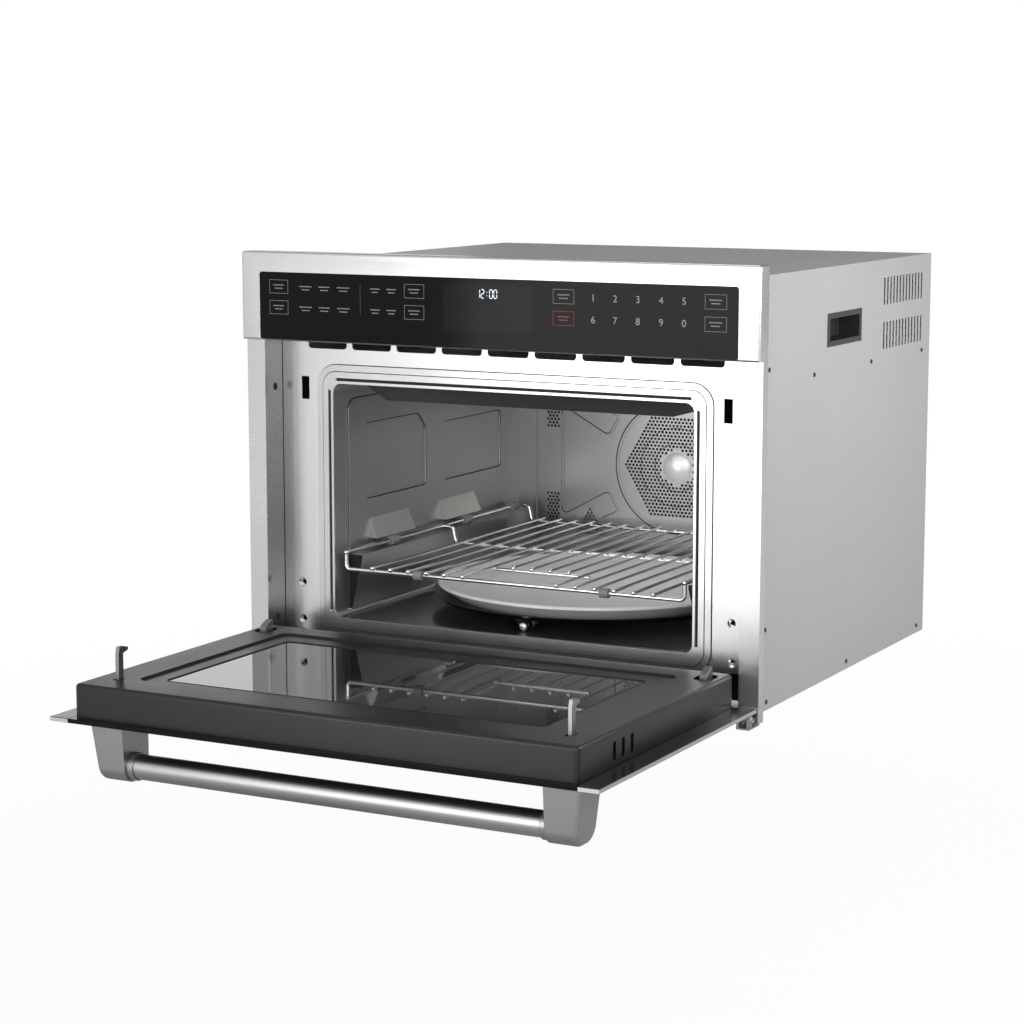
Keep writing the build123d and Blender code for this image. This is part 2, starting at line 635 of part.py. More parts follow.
GLASS_FRONT = TRIM_FRONT + GLASS_INSET
GLASS_BACK = GLASS_FRONT + GLASS_T
with BuildPart() as control_glass:
    with BuildSketch(Plane.XZ.offset(-GLASS_FRONT)):
        mouth(GLASS_W, TRIM_BOTTOM + GLASS_SEAM, GLASS_TOP, GLASS_R)
    extrude(amount=-GLASS_T)
save(control_glass, "control_glass")

with BuildPart() as display_module:
    block((-DISPLAY_W / 2, DISPLAY_W / 2), (GLASS_BACK, GLASS_BACK + DISPLAY_T),
          (DISPLAY_Z - DISPLAY_H / 2, DISPLAY_Z + DISPLAY_H / 2))
save(display_module, "display_module")

with BuildPart() as control_board:
    block((-BOARD_W / 2, BOARD_W / 2), (GLASS_BACK + DISPLAY_T, GLASS_BACK + DISPLAY_T + BOARD_T),
          (ROOF + 2 * GAP + FRAME_SHEET, GLASS_TOP - DISPLAY_T))
save(control_board, "control_board")

# Duct behind the cooling outlets.
DUCT_HALF = VENT_PITCH * VENT_COUNT / 2
with BuildPart() as air_duct:
    duct_y = (CAVITY_FRONT + PLATE_SHEET, CAVITY_FRONT + PLATE_SHEET + DUCT_D)
    block((-DUCT_HALF, DUCT_HALF), duct_y, (VENT_BOTTOM - CASE_SHEET, ROOF + FRAME_SHEET))
    block((CASE_SHEET - DUCT_HALF, DUCT_HALF - CASE_SHEET), duct_y,
          (VENT_BOTTOM, ROOF + FRAME_SHEET - CASE_SHEET), Mode.SUBTRACT)
save(air_duct, "air_duct")

# Casing: folded top and sides, base pan and rear panel.
with BuildPart() as outer_casing:
    block((-HALF_CASE, HALF_CASE), (CABINET_Y, BACK), (0, CASE_H))
    block((-CASE_IN, CASE_IN), (CABINET_Y, BACK), (0, CASE_H - CASE_SHEET), Mode.SUBTRACT)
    with BuildSketch(Plane.YZ):
        for level in SLOT_Z:
            with Locations((SLOT_FRONT + SLOT_PITCH * (SLOT_COUNT - 1) / 2, level)):
                with GridLocations(SLOT_PITCH, 1, SLOT_COUNT, 1):
                    RectangleRounded(SLOT_W, SLOT_H, SLOT_R)
        with Locations((sum(GRIP_Y) / 2, sum(GRIP_Z) / 2)):
            Rectangle(GRIP_Y[1] - GRIP_Y[0] - 2 * GRIP_LIP, GRIP_Z[1] - GRIP_Z[0] - 2 * GRIP_LIP)
        with Locations((SIDE_SCREW_Y, SIDE_SCREW_LOW), (SIDE_SCREW_Y, SIDE_SCREW_HIGH)):
            Circle(SIDE_SCREW_R)
    extrude(amount=HALF_CASE, both=True, mode=Mode.SUBTRACT)
save(outer_casing, "outer_casing")

BASE_FLANGE = 12.0
BASE_SLOT = (60.0, 5.0)
BASE_SLOTS = (90.0, 30.0, 4, 8)
with BuildPart() as base_pan:
    block((-CASE_IN, CASE_IN), (CABINET_Y, BACK - CASE_SHEET), (0, CASE_SHEET))
    for _, s in SIDES:
        block((s * CASE_IN, s * (CASE_IN - CASE_SHEET)), (CAVITY_FRONT + PLATE_SHEET, BACK - CASE_SHEET),
              (0, BASE_FLANGE))
    with BuildSketch(Plane.XY):
        with Locations((0, CAVITY_MID)):
            with GridLocations(*BASE_SLOTS):
                SlotOverall(*BASE_SLOT)
    extrude(amount=CASE_SHEET, mode=Mode.SUBTRACT)
save(base_pan, "base_pan")

REAR_SLOT = (46.0, 4.5)
REAR_SLOTS = (60.0, 10.8, 4, 8)
REAR_SLOT_AT = (138.0, CASE_H - 71.4)
with BuildPart() as rear_panel:
    block((-CASE_IN, CASE_IN), (BACK - CASE_SHEET, BACK), (0, CASE_H - CASE_SHEET))
    with BuildSketch(Plane.XZ.offset(-BACK)):
        for _, s in SIDES:
            with Locations((s * REAR_SLOT_AT[0], REAR_SLOT_AT[1])):
                with GridLocations(*REAR_SLOTS):
                    SlotOverall(*REAR_SLOT)
        with Locations((GLAND_X, GLAND_Z)):
            Circle(GLAND_R)
    extrude(amount=CASE_SHEET, mode=Mode.SUBTRACT)
save(rear_panel, "rear_panel")

GLAND_FLANGE = 3.0
GLAND_BORE_R = 5.0
with BuildPart() as cord_gland:
    rod((GLAND_X, BACK - CASE_SHEET - GLAND_FLANGE, GLAND_Z), (GLAND_X, BACK, GLAND_Z), GLAND_R)
    rod((GLAND_X, BACK, GLAND_Z), (GLAND_X, BACK + GLAND_FLANGE, GLAND_Z), GLAND_R + GLAND_FLANGE)
    rod((GLAND_X, BACK - 3 * GLAND_FLANGE, GLAND_Z), (GLAND_X, BACK + GLAND_FLANGE, GLAND_Z),
        GLAND_BORE_R, Mode.SUBTRACT)
save(cord_gland, "cord_gland")

with BuildPart() as casing_screws:
    for _, s in SIDES:
        for y, z in CASING_SCREWS:
            rod((s * HALF_CASE, y, z), (s * (HALF_CASE + SCREW_H), y, z), SCREW_R)
        for x, z in REAR_SCREWS:
            rod((s * x, BACK, z), (s * x, BACK + SCREW_H, z), SCREW_R)
save(casing_screws, "casing_screws")

for side_name, s in SIDES:
    with BuildPart() as carry_handle:
        block((s * HALF_CASE, s * (HALF_CASE + GRIP_PROUD)), GRIP_Y, GRIP_Z)
        cup_y = (GRIP_Y[0] + GRIP_LIP, GRIP_Y[1] - GRIP_LIP)
        cup_z = (GRIP_Z[0] + GRIP_LIP, GRIP_Z[1] - GRIP_LIP)
        block((s * (HALF_CASE - GRIP_D), s * HALF_CASE), cup_y, cup_z)
        block((s * (HALF_CASE - GRIP_D + GRIP_WALL), s * (HALF_CASE + GRIP_PROUD)),
              (cup_y[0] + GRIP_WALL, cup_y[1] - GRIP_WALL), (cup_z[0] + GRIP_WALL, cup_z[1] - GRIP_WALL),
              Mode.SUBTRACT)
    save(carry_handle, f"carry_handle_{side_name}")

# Microwave source and its supply, on top of the cavity.
TOP_DECK = LINER_HIGH
GUIDE_X = (30.0, 130.0)
GUIDE_Y = (CAVITY_MID - 50.0, CAVITY_MID + 40.0)
GUIDE_TOP = TOP_DECK + 26.0
TUBE_R = 18.0
TUBE_H = 84.0
FIN_COUNT = 6
FIN_FIRST = 14.0
FIN_PITCH = 9.0
FIN_T = 1.0
YOKE_X = 38.0            # half width inside the yoke
YOKE_Y = 28.0
YOKE_T = 3.0
YOKE_H = 65.0
with BuildPart() as waveguide:
    block(GUIDE_X, GUIDE_Y, (TOP_DECK, GUIDE_TOP))
save(waveguide, "waveguide")

TUBE_X = sum(GUIDE_X) / 2
TUBE_Y = sum(GUIDE_Y) / 2
YOKE_SPAN = (TUBE_Y - YOKE_Y, TUBE_Y + YOKE_Y)
with BuildPart() as magnetron:
    rod((TUBE_X, TUBE_Y, GUIDE_TOP), (TUBE_X, TUBE_Y, GUIDE_TOP + TUBE_H), TUBE_R)
    for fin in range(FIN_COUNT):
        level = GUIDE_TOP + FIN_FIRST + fin * FIN_PITCH
        block((TUBE_X - YOKE_X, TUBE_X + YOKE_X), YOKE_SPAN, (level, level + FIN_T))
    for _, s in SIDES:
        block((TUBE_X + s * YOKE_X, TUBE_X + s * (YOKE_X + YOKE_T)), YOKE_SPAN, (GUIDE_TOP, GUIDE_TOP + YOKE_H))
    block((TUBE_X - YOKE_X - YOKE_T, TUBE_X + YOKE_X + YOKE_T), YOKE_SPAN,
          (GUIDE_TOP + YOKE_H, GUIDE_TOP + YOKE_H + YOKE_T))
save(magnetron, "magnetron")

CORE_X = (-170.0, -70.0)
CORE_Y = (CAVITY_MID - 95.0, CAVITY_MID - 25.0)
CORE_H = 84.0
CORE_YOKE = 16.0
CORE_WINDOW = (15.0, 33.0)  # from the middle of the core
COIL_IN = 18.0
COIL_OUT = 14.0
COIL_H = 20.0
COIL_LOW = (18.0, 45.0)
with BuildPart() as hv_transformer:
    core_mid = sum(CORE_X) / 2
    block(CORE_X, CORE_Y, (TOP_DECK, TOP_DECK + CORE_H))
    for _, s in SIDES:
        block((core_mid + s * CORE_WINDOW[0], core_mid + s * CORE_WINDOW[1]), CORE_Y,
              (TOP_DECK + CORE_YOKE, TOP_DECK + CORE_H - CORE_YOKE), Mode.SUBTRACT)
    for low in COIL_LOW:
        block((CORE_X[0] + COIL_IN, CORE_X[1] - COIL_IN), (CORE_Y[0] - COIL_OUT, CORE_Y[1] + COIL_OUT),
              (TOP_DECK + low, TOP_DECK + low + COIL_H))
save(hv_transformer, "hv_transformer")

CAN = (90.0, 52.0, 36.0)
CAN_AT = (-180.0, CAVITY_MID + 50.0)
TERMINAL_R = 3.5
TERMINAL_H = 10.0
TERMINAL_OFF = 14.0
with BuildPart() as hv_capacitor:
    with BuildSketch(Plane.XY.offset(TOP_DECK)):
        with Locations(CAN_AT):
            SlotOverall(CAN[0], CAN[1], rotation=90)
    extrude(amount=CAN[2])
    for _, s in SIDES:
        foot = (CAN_AT[0], CAN_AT[1] + s * TERMINAL_OFF, TOP_DECK + CAN[2])
        rod(foot, (foot[0], foot[1], foot[2] + TERMINAL_H), TERMINAL_R)
save(hv_capacitor, "hv_capacitor")

FILTER_X = (150.0, 240.0)
FILTER_Y = (CAVITY_MID + 90.0, CAVITY_MID + 160.0)
FILTER_BOARD = 6.0
FILTER_H = 32.0
CHOKE_R = 14.0
with BuildPart() as noise_filter:
    board_top = TOP_DECK + FILTER_BOARD
    block(FILTER_X, FILTER_Y, (TOP_DECK, board_top))
    block((FILTER_X[0] + FILTER_BOARD, sum(FILTER_X) / 2), (FILTER_Y[0] + FILTER_BOARD, sum(FILTER_Y) / 2),
          (board_top, TOP_DECK + FILTER_H))
    choke = (FILTER_X[1] - 2 * CHOKE_R, FILTER_Y[1] - 2 * CHOKE_R)
    rod((*choke, board_top), (*choke, TOP_DECK + FILTER_H), CHOKE_R)
save(noise_filter, "noise_filter")

# Cooling blower: scroll housing, motor and bladed wheel on its shaft.
BLOWER_Y = CAVITY_MID + 160.0
BLOWER_Z = TOP_DECK + 54.0
BLOWER_X = (-60.0, 10.0)
SCROLL_R = 52.0
WHEEL_R = 42.0
WHEEL_BLADES = 24
BLOWER_MOTOR_R = 28.0
BLOWER_MOTOR_L = 38.0
BLOWER_SHAFT_IN = 24.0   # shaft inside the motor
BLOWER_INLET_R = 30.0
SCROLL_WALL = 2.0
WHEEL_FREE = 6.0         # wheel to the end walls of the scroll
WHEEL_DISC = 2.0
BLADE = (9.0, 1.0)
BLADE_LEAN = 25.0
WHEEL_X = (BLOWER_X[0] + WHEEL_FREE, BLOWER_X[1] - WHEEL_FREE)


def blower_rod(start, end, radius, mode=Mode.ADD):
    """A round bar on the blower's axis."""
    rod((start, BLOWER_Y, BLOWER_Z), (end, BLOWER_Y, BLOWER_Z), radius, mode)


with BuildPart() as blower_housing:
    blower_rod(*BLOWER_X, SCROLL_R)
    block(BLOWER_X, (BLOWER_Y - SCROLL_R, BLOWER_Y + SCROLL_R), (TOP_DECK, BLOWER_Z))
    blower_rod(BLOWER_X[0] + SCROLL_WALL, BLOWER_X[1] - SCROLL_WALL, SCROLL_R - SCROLL_WALL, Mode.SUBTRACT)
    blower_rod(BLOWER_X[0], BLOWER_X[0] + SCROLL_WALL, BLOWER_INLET_R, Mode.SUBTRACT)
    blower_rod(BLOWER_X[1] - SCROLL_WALL, BLOWER_X[1], SHAFT_R + RUN, Mode.SUBTRACT)
save(blower_housing, "blower_housing")

with BuildPart() as blower_motor:
    blower_rod(BLOWER_X[1], BLOWER_X[1] + BLOWER_MOTOR_L, BLOWER_MOTOR_R)
    blower_rod(BLOWER_X[1], BLOWER_X[1] + BLOWER_SHAFT_IN + GAP, SHAFT_R + RUN, Mode.SUBTRACT)
save(blower_motor, "blower_motor")

with BuildPart() as blower_wheel:
    blower_rod(WHEEL_X[1] - WHEEL_DISC, WHEEL_X[1], WHEEL_R)
    blower_rod(WHEEL_X[1] - BLADE[0], BLOWER_X[1] + BLOWER_SHAFT_IN, SHAFT_R)
    with BuildSketch(Plane.YZ.offset(WHEEL_X[0])):
        with Locations((BLOWER_Y, BLOWER_Z)):
            with PolarLocations(WHEEL_R - BLADE[0] / 2, WHEEL_BLADES):
                Rectangle(*BLADE, rotation=BLADE_LEAN)
    extrude(amount=WHEEL_X[1] - WHEEL_X[0])
save(blower_wheel, "blower_wheel")

# Lamp beside the cavity and cut-out on its ceiling.
LAMP_AT = (CAVITY_MID + 60.0, 276.0)
LAMP_PLATE = (26.0, 20.0, 3.0)
LAMP_STEPS = ((13.0, 21.0), (9.0, 20.0))
with BuildPart() as cavity_lamp:
    lamp_x = LINER_W / 2 + LAMP_PLATE[2]
    block((LINER_W / 2, lamp_x), (LAMP_AT[0] - LAMP_PLATE[0], LAMP_AT[0] + LAMP_PLATE[0]),
          (LAMP_AT[1] - LAMP_PLATE[1], LAMP_AT[1] + LAMP_PLATE[1]))
    for radius, length in LAMP_STEPS:
        rod((lamp_x, *LAMP_AT), (lamp_x + length, *LAMP_AT), radius)
        lamp_x += length
save(cavity_lamp, "cavity_lamp")

CUTOUT_AT = (-40.0, CAVITY_MID + 60.0)
CUTOUT_R = 9.0
CUTOUT_H = 10.0
CUTOUT_TAB = (12.0, 3.0, 1.5)
with BuildPart() as thermal_cutout:
    rod((*CUTOUT_AT, TOP_DECK), (*CUTOUT_AT, TOP_DECK + CUTOUT_H), CUTOUT_R)
    block((CUTOUT_AT[0] - CUTOUT_TAB[0], CUTOUT_AT[0] + CUTOUT_TAB[0]),
          (CUTOUT_AT[1] - CUTOUT_TAB[1], CUTOUT_AT[1] + CUTOUT_TAB[1]), (TOP_DECK, TOP_DECK + CUTOUT_TAB[2]))
save(thermal_cutout, "thermal_cutout")

# Switch housings that take the latch hooks behind the front plate.
HOOK_ROOM = (10.0, 46.0, 6.0)  # half width, depth and height beyond the keyhole
HOOK_WALL = 2.0
SWITCH = (6.0, 30.0, 10.0)
SWITCH_BACK = 6.0
with BuildPart() as interlock_housings:
    room_front = CAVITY_FRONT + PLATE_SHEET
    for _, s in SIDES:
        for wall, mode in ((HOOK_WALL, Mode.ADD), (0.0, Mode.SUBTRACT)):
            half = HOOK_ROOM[0] + wall
            block((s * (LATCH_X - half), s * (LATCH_X + half)), (room_front, room_front + HOOK_ROOM[1] + wall),
                  (KEYHOLE_Z[0] - HOOK_ROOM[2] - wall, KEYHOLE_Z[1] + HOOK_ROOM[2] + wall), mode)
        reach = HOOK_ROOM[2] + HOOK_WALL
        for level in (KEYHOLE_Z[0] - reach - SWITCH[2], KEYHOLE_Z[1] + reach):
            block((s * (LATCH_X - SWITCH[0]), s * (LATCH_X + SWITCH[0])),
                  (room_front + SWITCH_BACK, room_front + SWITCH_BACK + SWITCH[1]), (level, level + SWITCH[2]))
save(interlock_housings, "interlock_housings")

# Turntable: motor under the floor, drive hub, black pan on ball rollers, and the tray.
SPIN_AXIS = Axis((0, CAVITY_MID, 0), (0, 0, 1))
SPIN_PLANE = Plane.XZ.offset(-CAVITY_MID)
SPIN_CENTRE = Vector(0, CAVITY_MID, 0)
ROLLER_Z = CAVITY_FLOOR + GAP + ROLLER_R
ROLLER_DIRECTIONS = [Vector(0, -1, 0).rotate(Axis.Z, turn * 360 / ROLLER_COUNT) for turn in range(ROLLER_COUNT)]
SHAFT_FOOT = MOTOR_BOTTOM + 8.0
with BuildPart() as turntable_motor:
    rod((0, CAVITY_MID, MOTOR_BOTTOM), (0, CAVITY_MID, LINER_LOW), MOTOR_R)
    rod((0, CAVITY_MID, SHAFT_FOOT - GAP), (0, CAVITY_MID, LINER_LOW), HUB_SHAFT_R + RUN, Mode.SUBTRACT)
save(turntable_motor, "turntable_motor")

with BuildPart() as drive_hub:
    rod((0, CAVITY_MID, SHAFT_FOOT), (0, CAVITY_MID, PAN_BASE), HUB_SHAFT_R)
    with BuildSketch(Plane.XY.offset(PAN_BASE)):
        with Locations((0, CAVITY_MID)):
            Circle(HUB_CORE_R)
            with PolarLocations(HUB_R, HUB_LOBES):
                Circle(HUB_LOBE_R)
                Rectangle(HUB_R, HUB_LOBE_R, align=(Align.MAX, Align.CENTER))
    extrude(amount=-HUB_T)
save(drive_hub, "drive_hub")

with BuildPart() as turntable_pan:
    with BuildSketch(SPIN_PLANE):
        with BuildLine():
            Polyline((0, PAN_BASE), (ROLLER_AXIS_R, PAN_BASE), (PAN_R, PAN_TOP), (PAN_R - PAN_SHEET, PAN_TOP),
                     (ROLLER_AXIS_R - PAN_SHEET, PAN_BASE + PAN_SHEET), (0, PAN_BASE + PAN_SHEET), close=True)
        make_face()
    revolve(axis=SPIN_AXIS)
    for out in ROLLER_DIRECTIONS:
        cheek = SPIN_CENTRE + out * (ROLLER_AXIS_R - ROLLER_R - GAP - CHEEK_T)
        with BuildSketch(Plane(origin=cheek, x_dir=(-out.Y, out.X, 0), z_dir=out)):
            with BuildLine():
                Polyline((-CHEEK_TOP_W / 2, PAN_BASE), (-CHEEK_LOW_W / 2, CAVITY_FLOOR + CHEEK_T),
                         (CHEEK_LOW_W / 2, CAVITY_FLOOR + CHEEK_T), (CHEEK_TOP_W / 2, PAN_BASE), close=True)
            make_face()
        extrude(amount=CHEEK_T)
        lift = Vector(0, 0, ROLLER_Z)
        tip = SPIN_CENTRE + out * (ROLLER_AXIS_R + ROLLER_R) + lift
        rod(tuple(cheek + lift), tuple(tip), ROLLER_PIN_R)
save(turntable_pan, "turntable_pan")

for number, out in enumerate(ROLLER_DIRECTIONS, 1):
    spot = SPIN_CENTRE + out * ROLLER_AXIS_R + Vector(0, 0, ROLLER_Z)
    reach = out * 2 * ROLLER_R
    with BuildPart() as roller_ball:
        with Locations(tuple(spot)):
            Sphere(ROLLER_R)
        rod(tuple(spot - reach), tuple(spot + reach), ROLLER_PIN_R + RUN, Mode.SUBTRACT)
    save(roller_ball, f"roller_ball_{number}")

TRAY_BASE = PAN_BASE + PAN_SHEET
with BuildPart() as turntable_tray:
    with BuildSketch(SPIN_PLANE):
        with BuildLine():
            Polyline((0, TRAY_BASE), (TRAY_BASE_R, TRAY_BASE), (TRAY_R, TRAY_TOP - TRAY_EDGE),
                     (TRAY_R, TRAY_TOP), (TRAY_R - TRAY_RIM, TRAY_TOP),
                     (TRAY_BASE_R, TRAY_BASE + TRAY_T), (0, TRAY_BASE + TRAY_T), close=True)
        make_face()
        fillet(vertices().group_by(Axis.Y)[-1], TRAY_EDGE_R)
    revolve(axis=SPIN_AXIS)
save(turntable_tray, "turntable_tray")

# Wire rack: side rails, dropped front, middle and rear bars, long wires with ball ends.
RAIL_X = RACK_W / 2
WIRE_Z = BAR_Z + CROSS_R + WIRE_R - WELD
BAR_OVERHANG = 0.6        # short bar past its last wire, in wire pitches
with BuildPart() as wire_rack:
    for _, s in SIDES:
        rod((s * RAIL_X, RACK_FRONT, RAIL_Z), (s * RAIL_X, RACK_BACK, RAIL_Z), RAIL_R)
        with Locations((s * RAIL_X, RACK_FRONT, RAIL_Z), (s * RAIL_X, RACK_BACK, RAIL_Z)):
            Sphere(KNOB_R)
    wire([(-RAIL_X, RACK_FRONT, RAIL_Z), (-RAIL_X, RACK_FRONT, BAR_Z), (RAIL_X, RACK_FRONT, BAR_Z),
          (RAIL_X, RACK_FRONT, RAIL_Z)], CROSS_R, BAR_BEND_R)
    inner = RAIL_X - BAR_STEP
    for bar_y in (RACK_MIDBAR, RACK_BACK):
        wire([(-RAIL_X, bar_y, RAIL_Z), (-inner, bar_y, RAIL_Z), (BAR_LEAN - inner, bar_y, BAR_Z),
              (inner - BAR_LEAN, bar_y, BAR_Z), (inner, bar_y, RAIL_Z), (RAIL_X, bar_y, RAIL_Z)],
             CROSS_R, BAR_BEND_R)
    short_half = (SHORT_WIRES / 2 + BAR_OVERHANG) * WIRE_PITCH
    rod((-short_half, RACK_SHORT_BAR, BAR_Z), (short_half, RACK_SHORT_BAR, BAR_Z), CROSS_R)
    for number in range(WIRE_COUNT):
        place = number - (WIRE_COUNT - 1) / 2
        start = RACK_SHORT_BAR if abs(place) < SHORT_WIRES / 2 else RACK_FRONT
        x = place * WIRE_PITCH
        rod((x, start - RAIL_R, WIRE_Z), (x, RACK_BACK + RAIL_R, WIRE_Z), WIRE_R)
        with Locations((x, start - RAIL_R, WIRE_Z)):
            Sphere(BALL_R)
save(wire_rack, "wire_rack")

with BuildPart() as rack_bushings:
    for _, s in SIDES:
        for y in BUSH_Y:
            ends = [(s * RAIL_X, y + e * BUSH_L / 2, RAIL_Z) for e in (-1, 1)]
            rod(*ends, BUSH_R)
            rod(*ends, RAIL_R, Mode.SUBTRACT)
        ends = [(s * FRONT_BUSH_X + e * FRONT_BUSH_L / 2, RACK_FRONT, BAR_Z) for e in (-1, 1)]
        rod(*ends, BUSH_R)
        rod(*ends, CROSS_R, Mode.SUBTRACT)
save(rack_bushings, "rack_bushings")

# Door skin: black outer glass between two stainless side bars, with a sloped hinge edge.
SKIN_EDGE = ((DOOR_FRONT, DOOR_OUTER), (DOOR_BACK, DOOR_OUTER), (DOOR_BACK, DOOR_INNER - DOOR_EDGE_CUT[1]),
             (DOOR_BACK - DOOR_EDGE_CUT[0], DOOR_INNER), (DOOR_FRONT, DOOR_INNER))
GLASS_EDGE = DOOR_W / 2 - SIDE_BAR_W


def skin(start, end):
    """The door skin's edge profile carried from one x to another."""
    with BuildSketch(Plane.YZ.offset(start)) as edge:
        with BuildLine():
            Polyline(*SKIN_EDGE, close=True)
        make_face()
    extrude(edge.sketch, amount=end - start)


with BuildPart() as door_outer_glass:
    skin(-GLASS_EDGE, GLASS_EDGE)
save(door_outer_glass, "door_outer_glass")

with BuildPart() as door_side_bars:
    skin(-DOOR_W / 2, -GLASS_EDGE)
    skin(GLASS_EDGE, DOOR_W / 2)
save(door_side_bars, "door_side_bars")

# Door inner frame: a deep tray with the window opening, side vents, latch seats and slots.
WINDOW_MID = (WINDOW_FRONT + WINDOW_BACK) / 2
STEM_MID = sum(LATCH_STEM) / 2
SEAT_T = 3.0
SEAT_BOTTOM = LATCH_PIVOT_Z - 5.0
with BuildPart() as door_inner_frame:
    block((-BOX_W / 2, BOX_W / 2), (BOX_FRONT, BOX_BACK), (DOOR_INNER, BOX_TOP))
    fillet(door_inner_frame.edges().filter_by(Axis.Z), BOX_CORNER_R)
    fillet(door_inner_frame.faces().sort_by(Axis.Z)[-1].edges(), BOX_EDGE_R)
    block((BOX_WALL - BOX_W / 2, BOX_W / 2 - BOX_WALL), (BOX_FRONT + BOX_WALL, BOX_BACK - BOX_WALL),
          (DOOR_INNER, BOX_TOP - BOX_WALL), Mode.SUBTRACT)
    with BuildSketch(Plane.XY.offset(BOX_TOP)):
        with Locations((0, WINDOW_MID)):
            RectangleRounded(WINDOW_W, WINDOW_BACK - WINDOW_FRONT, WINDOW_R)
        for _, s in SIDES:
            with Locations((s * LATCH_X, sum(LATCH_SLOT_Y) / 2)):
                Rectangle(LATCH_SLOT_W, LATCH_SLOT_Y[1] - LATCH_SLOT_Y[0])
            with Locations((s * CLAW_X, sum(CLAW_SLOT_Y) / 2)):
                SlotOverall(CLAW_SLOT_Y[1] - CLAW_SLOT_Y[0], CLAW_SLOT_W, rotation=90)
    extrude(amount=-BOX_WALL, mode=Mode.SUBTRACT)
    with BuildSketch(Plane.YZ):
        with Locations(*[(y, sum(DOOR_VENT_Z) / 2) for y in DOOR_VENT_Y]):
            SlotOverall(DOOR_VENT_Z[1] - DOOR_VENT_Z[0], DOOR_VENT_W, rotation=90)
    extrude(amount=BOX_W / 2, both=True, mode=Mode.SUBTRACT)
    for _, s in SIDES:
        for e in (-1, 1):
            inside = s * LATCH_X + e * LATCH_SLOT_W / 2
            block((inside, inside + e * SEAT_T), LATCH_STEM, (SEAT_BOTTOM, BOX_TOP - BOX_WALL))
        rod((s * LATCH_X - LATCH_SLOT_W / 2, STEM_MID, LATCH_PIVOT_Z),
            (s * LATCH_X + LATCH_SLOT_W / 2, STEM_MID, LATCH_PIVOT_Z), LATCH_PIVOT_R)
save(door_inner_frame, "door_inner_frame")

# Window: a band with a ledge, the inner pane and the perforated screen under it.
BAND_TOP = BOX_TOP - BAND_SINK
PANE_TOP = BAND_TOP - PANE_SINK
PANE_BASE = PANE_TOP - PANE_T
BAND_BASE = PANE_BASE - BAND_LEDGE_T
PANE_MID = (PANE_FRONT + PANE_BACK) / 2
PANE_D = PANE_BACK - PANE_FRONT


def window_sheet(middle, width, depth, radius, low, high, mode=Mode.ADD):
    """A rounded sheet that lies between two heights."""
    with BuildSketch(Plane.XY.offset(low)) as outline:
        with Locations((0, middle)):
            RectangleRounded(width, depth, radius)
    extrude(outline.sketch, amount=high - low, mode=mode)


with BuildPart() as door_window_band:
    opening_d = WINDOW_BACK - WINDOW_FRONT
    window_sheet(WINDOW_MID, WINDOW_W - 2 * WINDOW_GROOVE, opening_d - 2 * WINDOW_GROOVE,
                 WINDOW_R - WINDOW_GROOVE, BAND_BASE, BAND_TOP)
    window_sheet(WINDOW_MID, WINDOW_W + 2 * BAND_FLANGE, opening_d + 2 * BAND_FLANGE, WINDOW_R,
                 BAND_BASE, BOX_TOP - BOX_WALL)
    window_sheet(PANE_MID, PANE_W, PANE_D, PANE_R, PANE_BASE, BAND_TOP, Mode.SUBTRACT)
    window_sheet(PANE_MID, PANE_W - 2 * PANE_LEDGE, PANE_D - 2 * PANE_LEDGE, PANE_R,
                 BAND_BASE, PANE_BASE, Mode.SUBTRACT)
save(door_window_band, "door_window_band")

with BuildPart() as door_inner_glass:
    window_sheet(PANE_MID, PANE_W, PANE_D, PANE_R, PANE_BASE, PANE_TOP)
save(door_inner_glass, "door_inner_glass")

with BuildPart() as door_screen:
    window_sheet(PANE_MID, PANE_W, PANE_D, PANE_R, BAND_BASE - SCREEN_T, BAND_BASE)
    with BuildSketch(Plane.XY.offset(BAND_BASE)):
        with Locations((0, PANE_MID)):
            with GridLocations(SCREEN_PITCH, SCREEN_PITCH, *SCREEN_HOLES):
                Circle(SCREEN_HOLE_R)
    extrude(amount=-SCREEN_T, mode=Mode.SUBTRACT)
save(door_screen, "door_screen")

# Hinges: fixed brackets under the columns, pins, and the leaves with knuckles on the door.
EAR_IN = KNUCKLE_W / 2 + GAP
EAR_OUT = EAR_IN + EAR_W
for side_name, s in SIDES:
    with BuildPart() as hinge_bracket:
        middle = s * HINGE_X
        block((middle - EAR_OUT, middle + EAR_OUT), (PIVOT_Y - EAR_R, CABINET_Y - GAP),
              (-BRACKET_T, 0))
        block((middle - EAR_OUT, middle + EAR_OUT), (FACE + GAP, CABINET_Y - GAP), (0, SILL))
        for e in (-1, 1):
            ear = (middle + e * EAR_IN, middle + e * EAR_OUT)
            block(ear, (PIVOT_Y - EAR_R, PIVOT_Y + EAR_R), (0, PIVOT_Z))
            rod((ear[0], PIVOT_Y, PIVOT_Z), (ear[1], PIVOT_Y, PIVOT_Z), EAR_R)
        rod((middle - EAR_OUT, PIVOT_Y, PIVOT_Z), (middle + EAR_OUT, PIVOT_Y, PIVOT_Z), PIN_R, Mode.SUBTRACT)
    save(hinge_bracket, f"hinge_bracket_{side_name}")

with BuildPart() as hinge_pins:
    for _, s in SIDES:
        rod((s * HINGE_X - EAR_OUT, PIVOT_Y, PIVOT_Z), (s * HINGE_X + EAR_OUT, PIVOT_Y, PIVOT_Z), PIN_R)
save(hinge_pins, "hinge_pins")

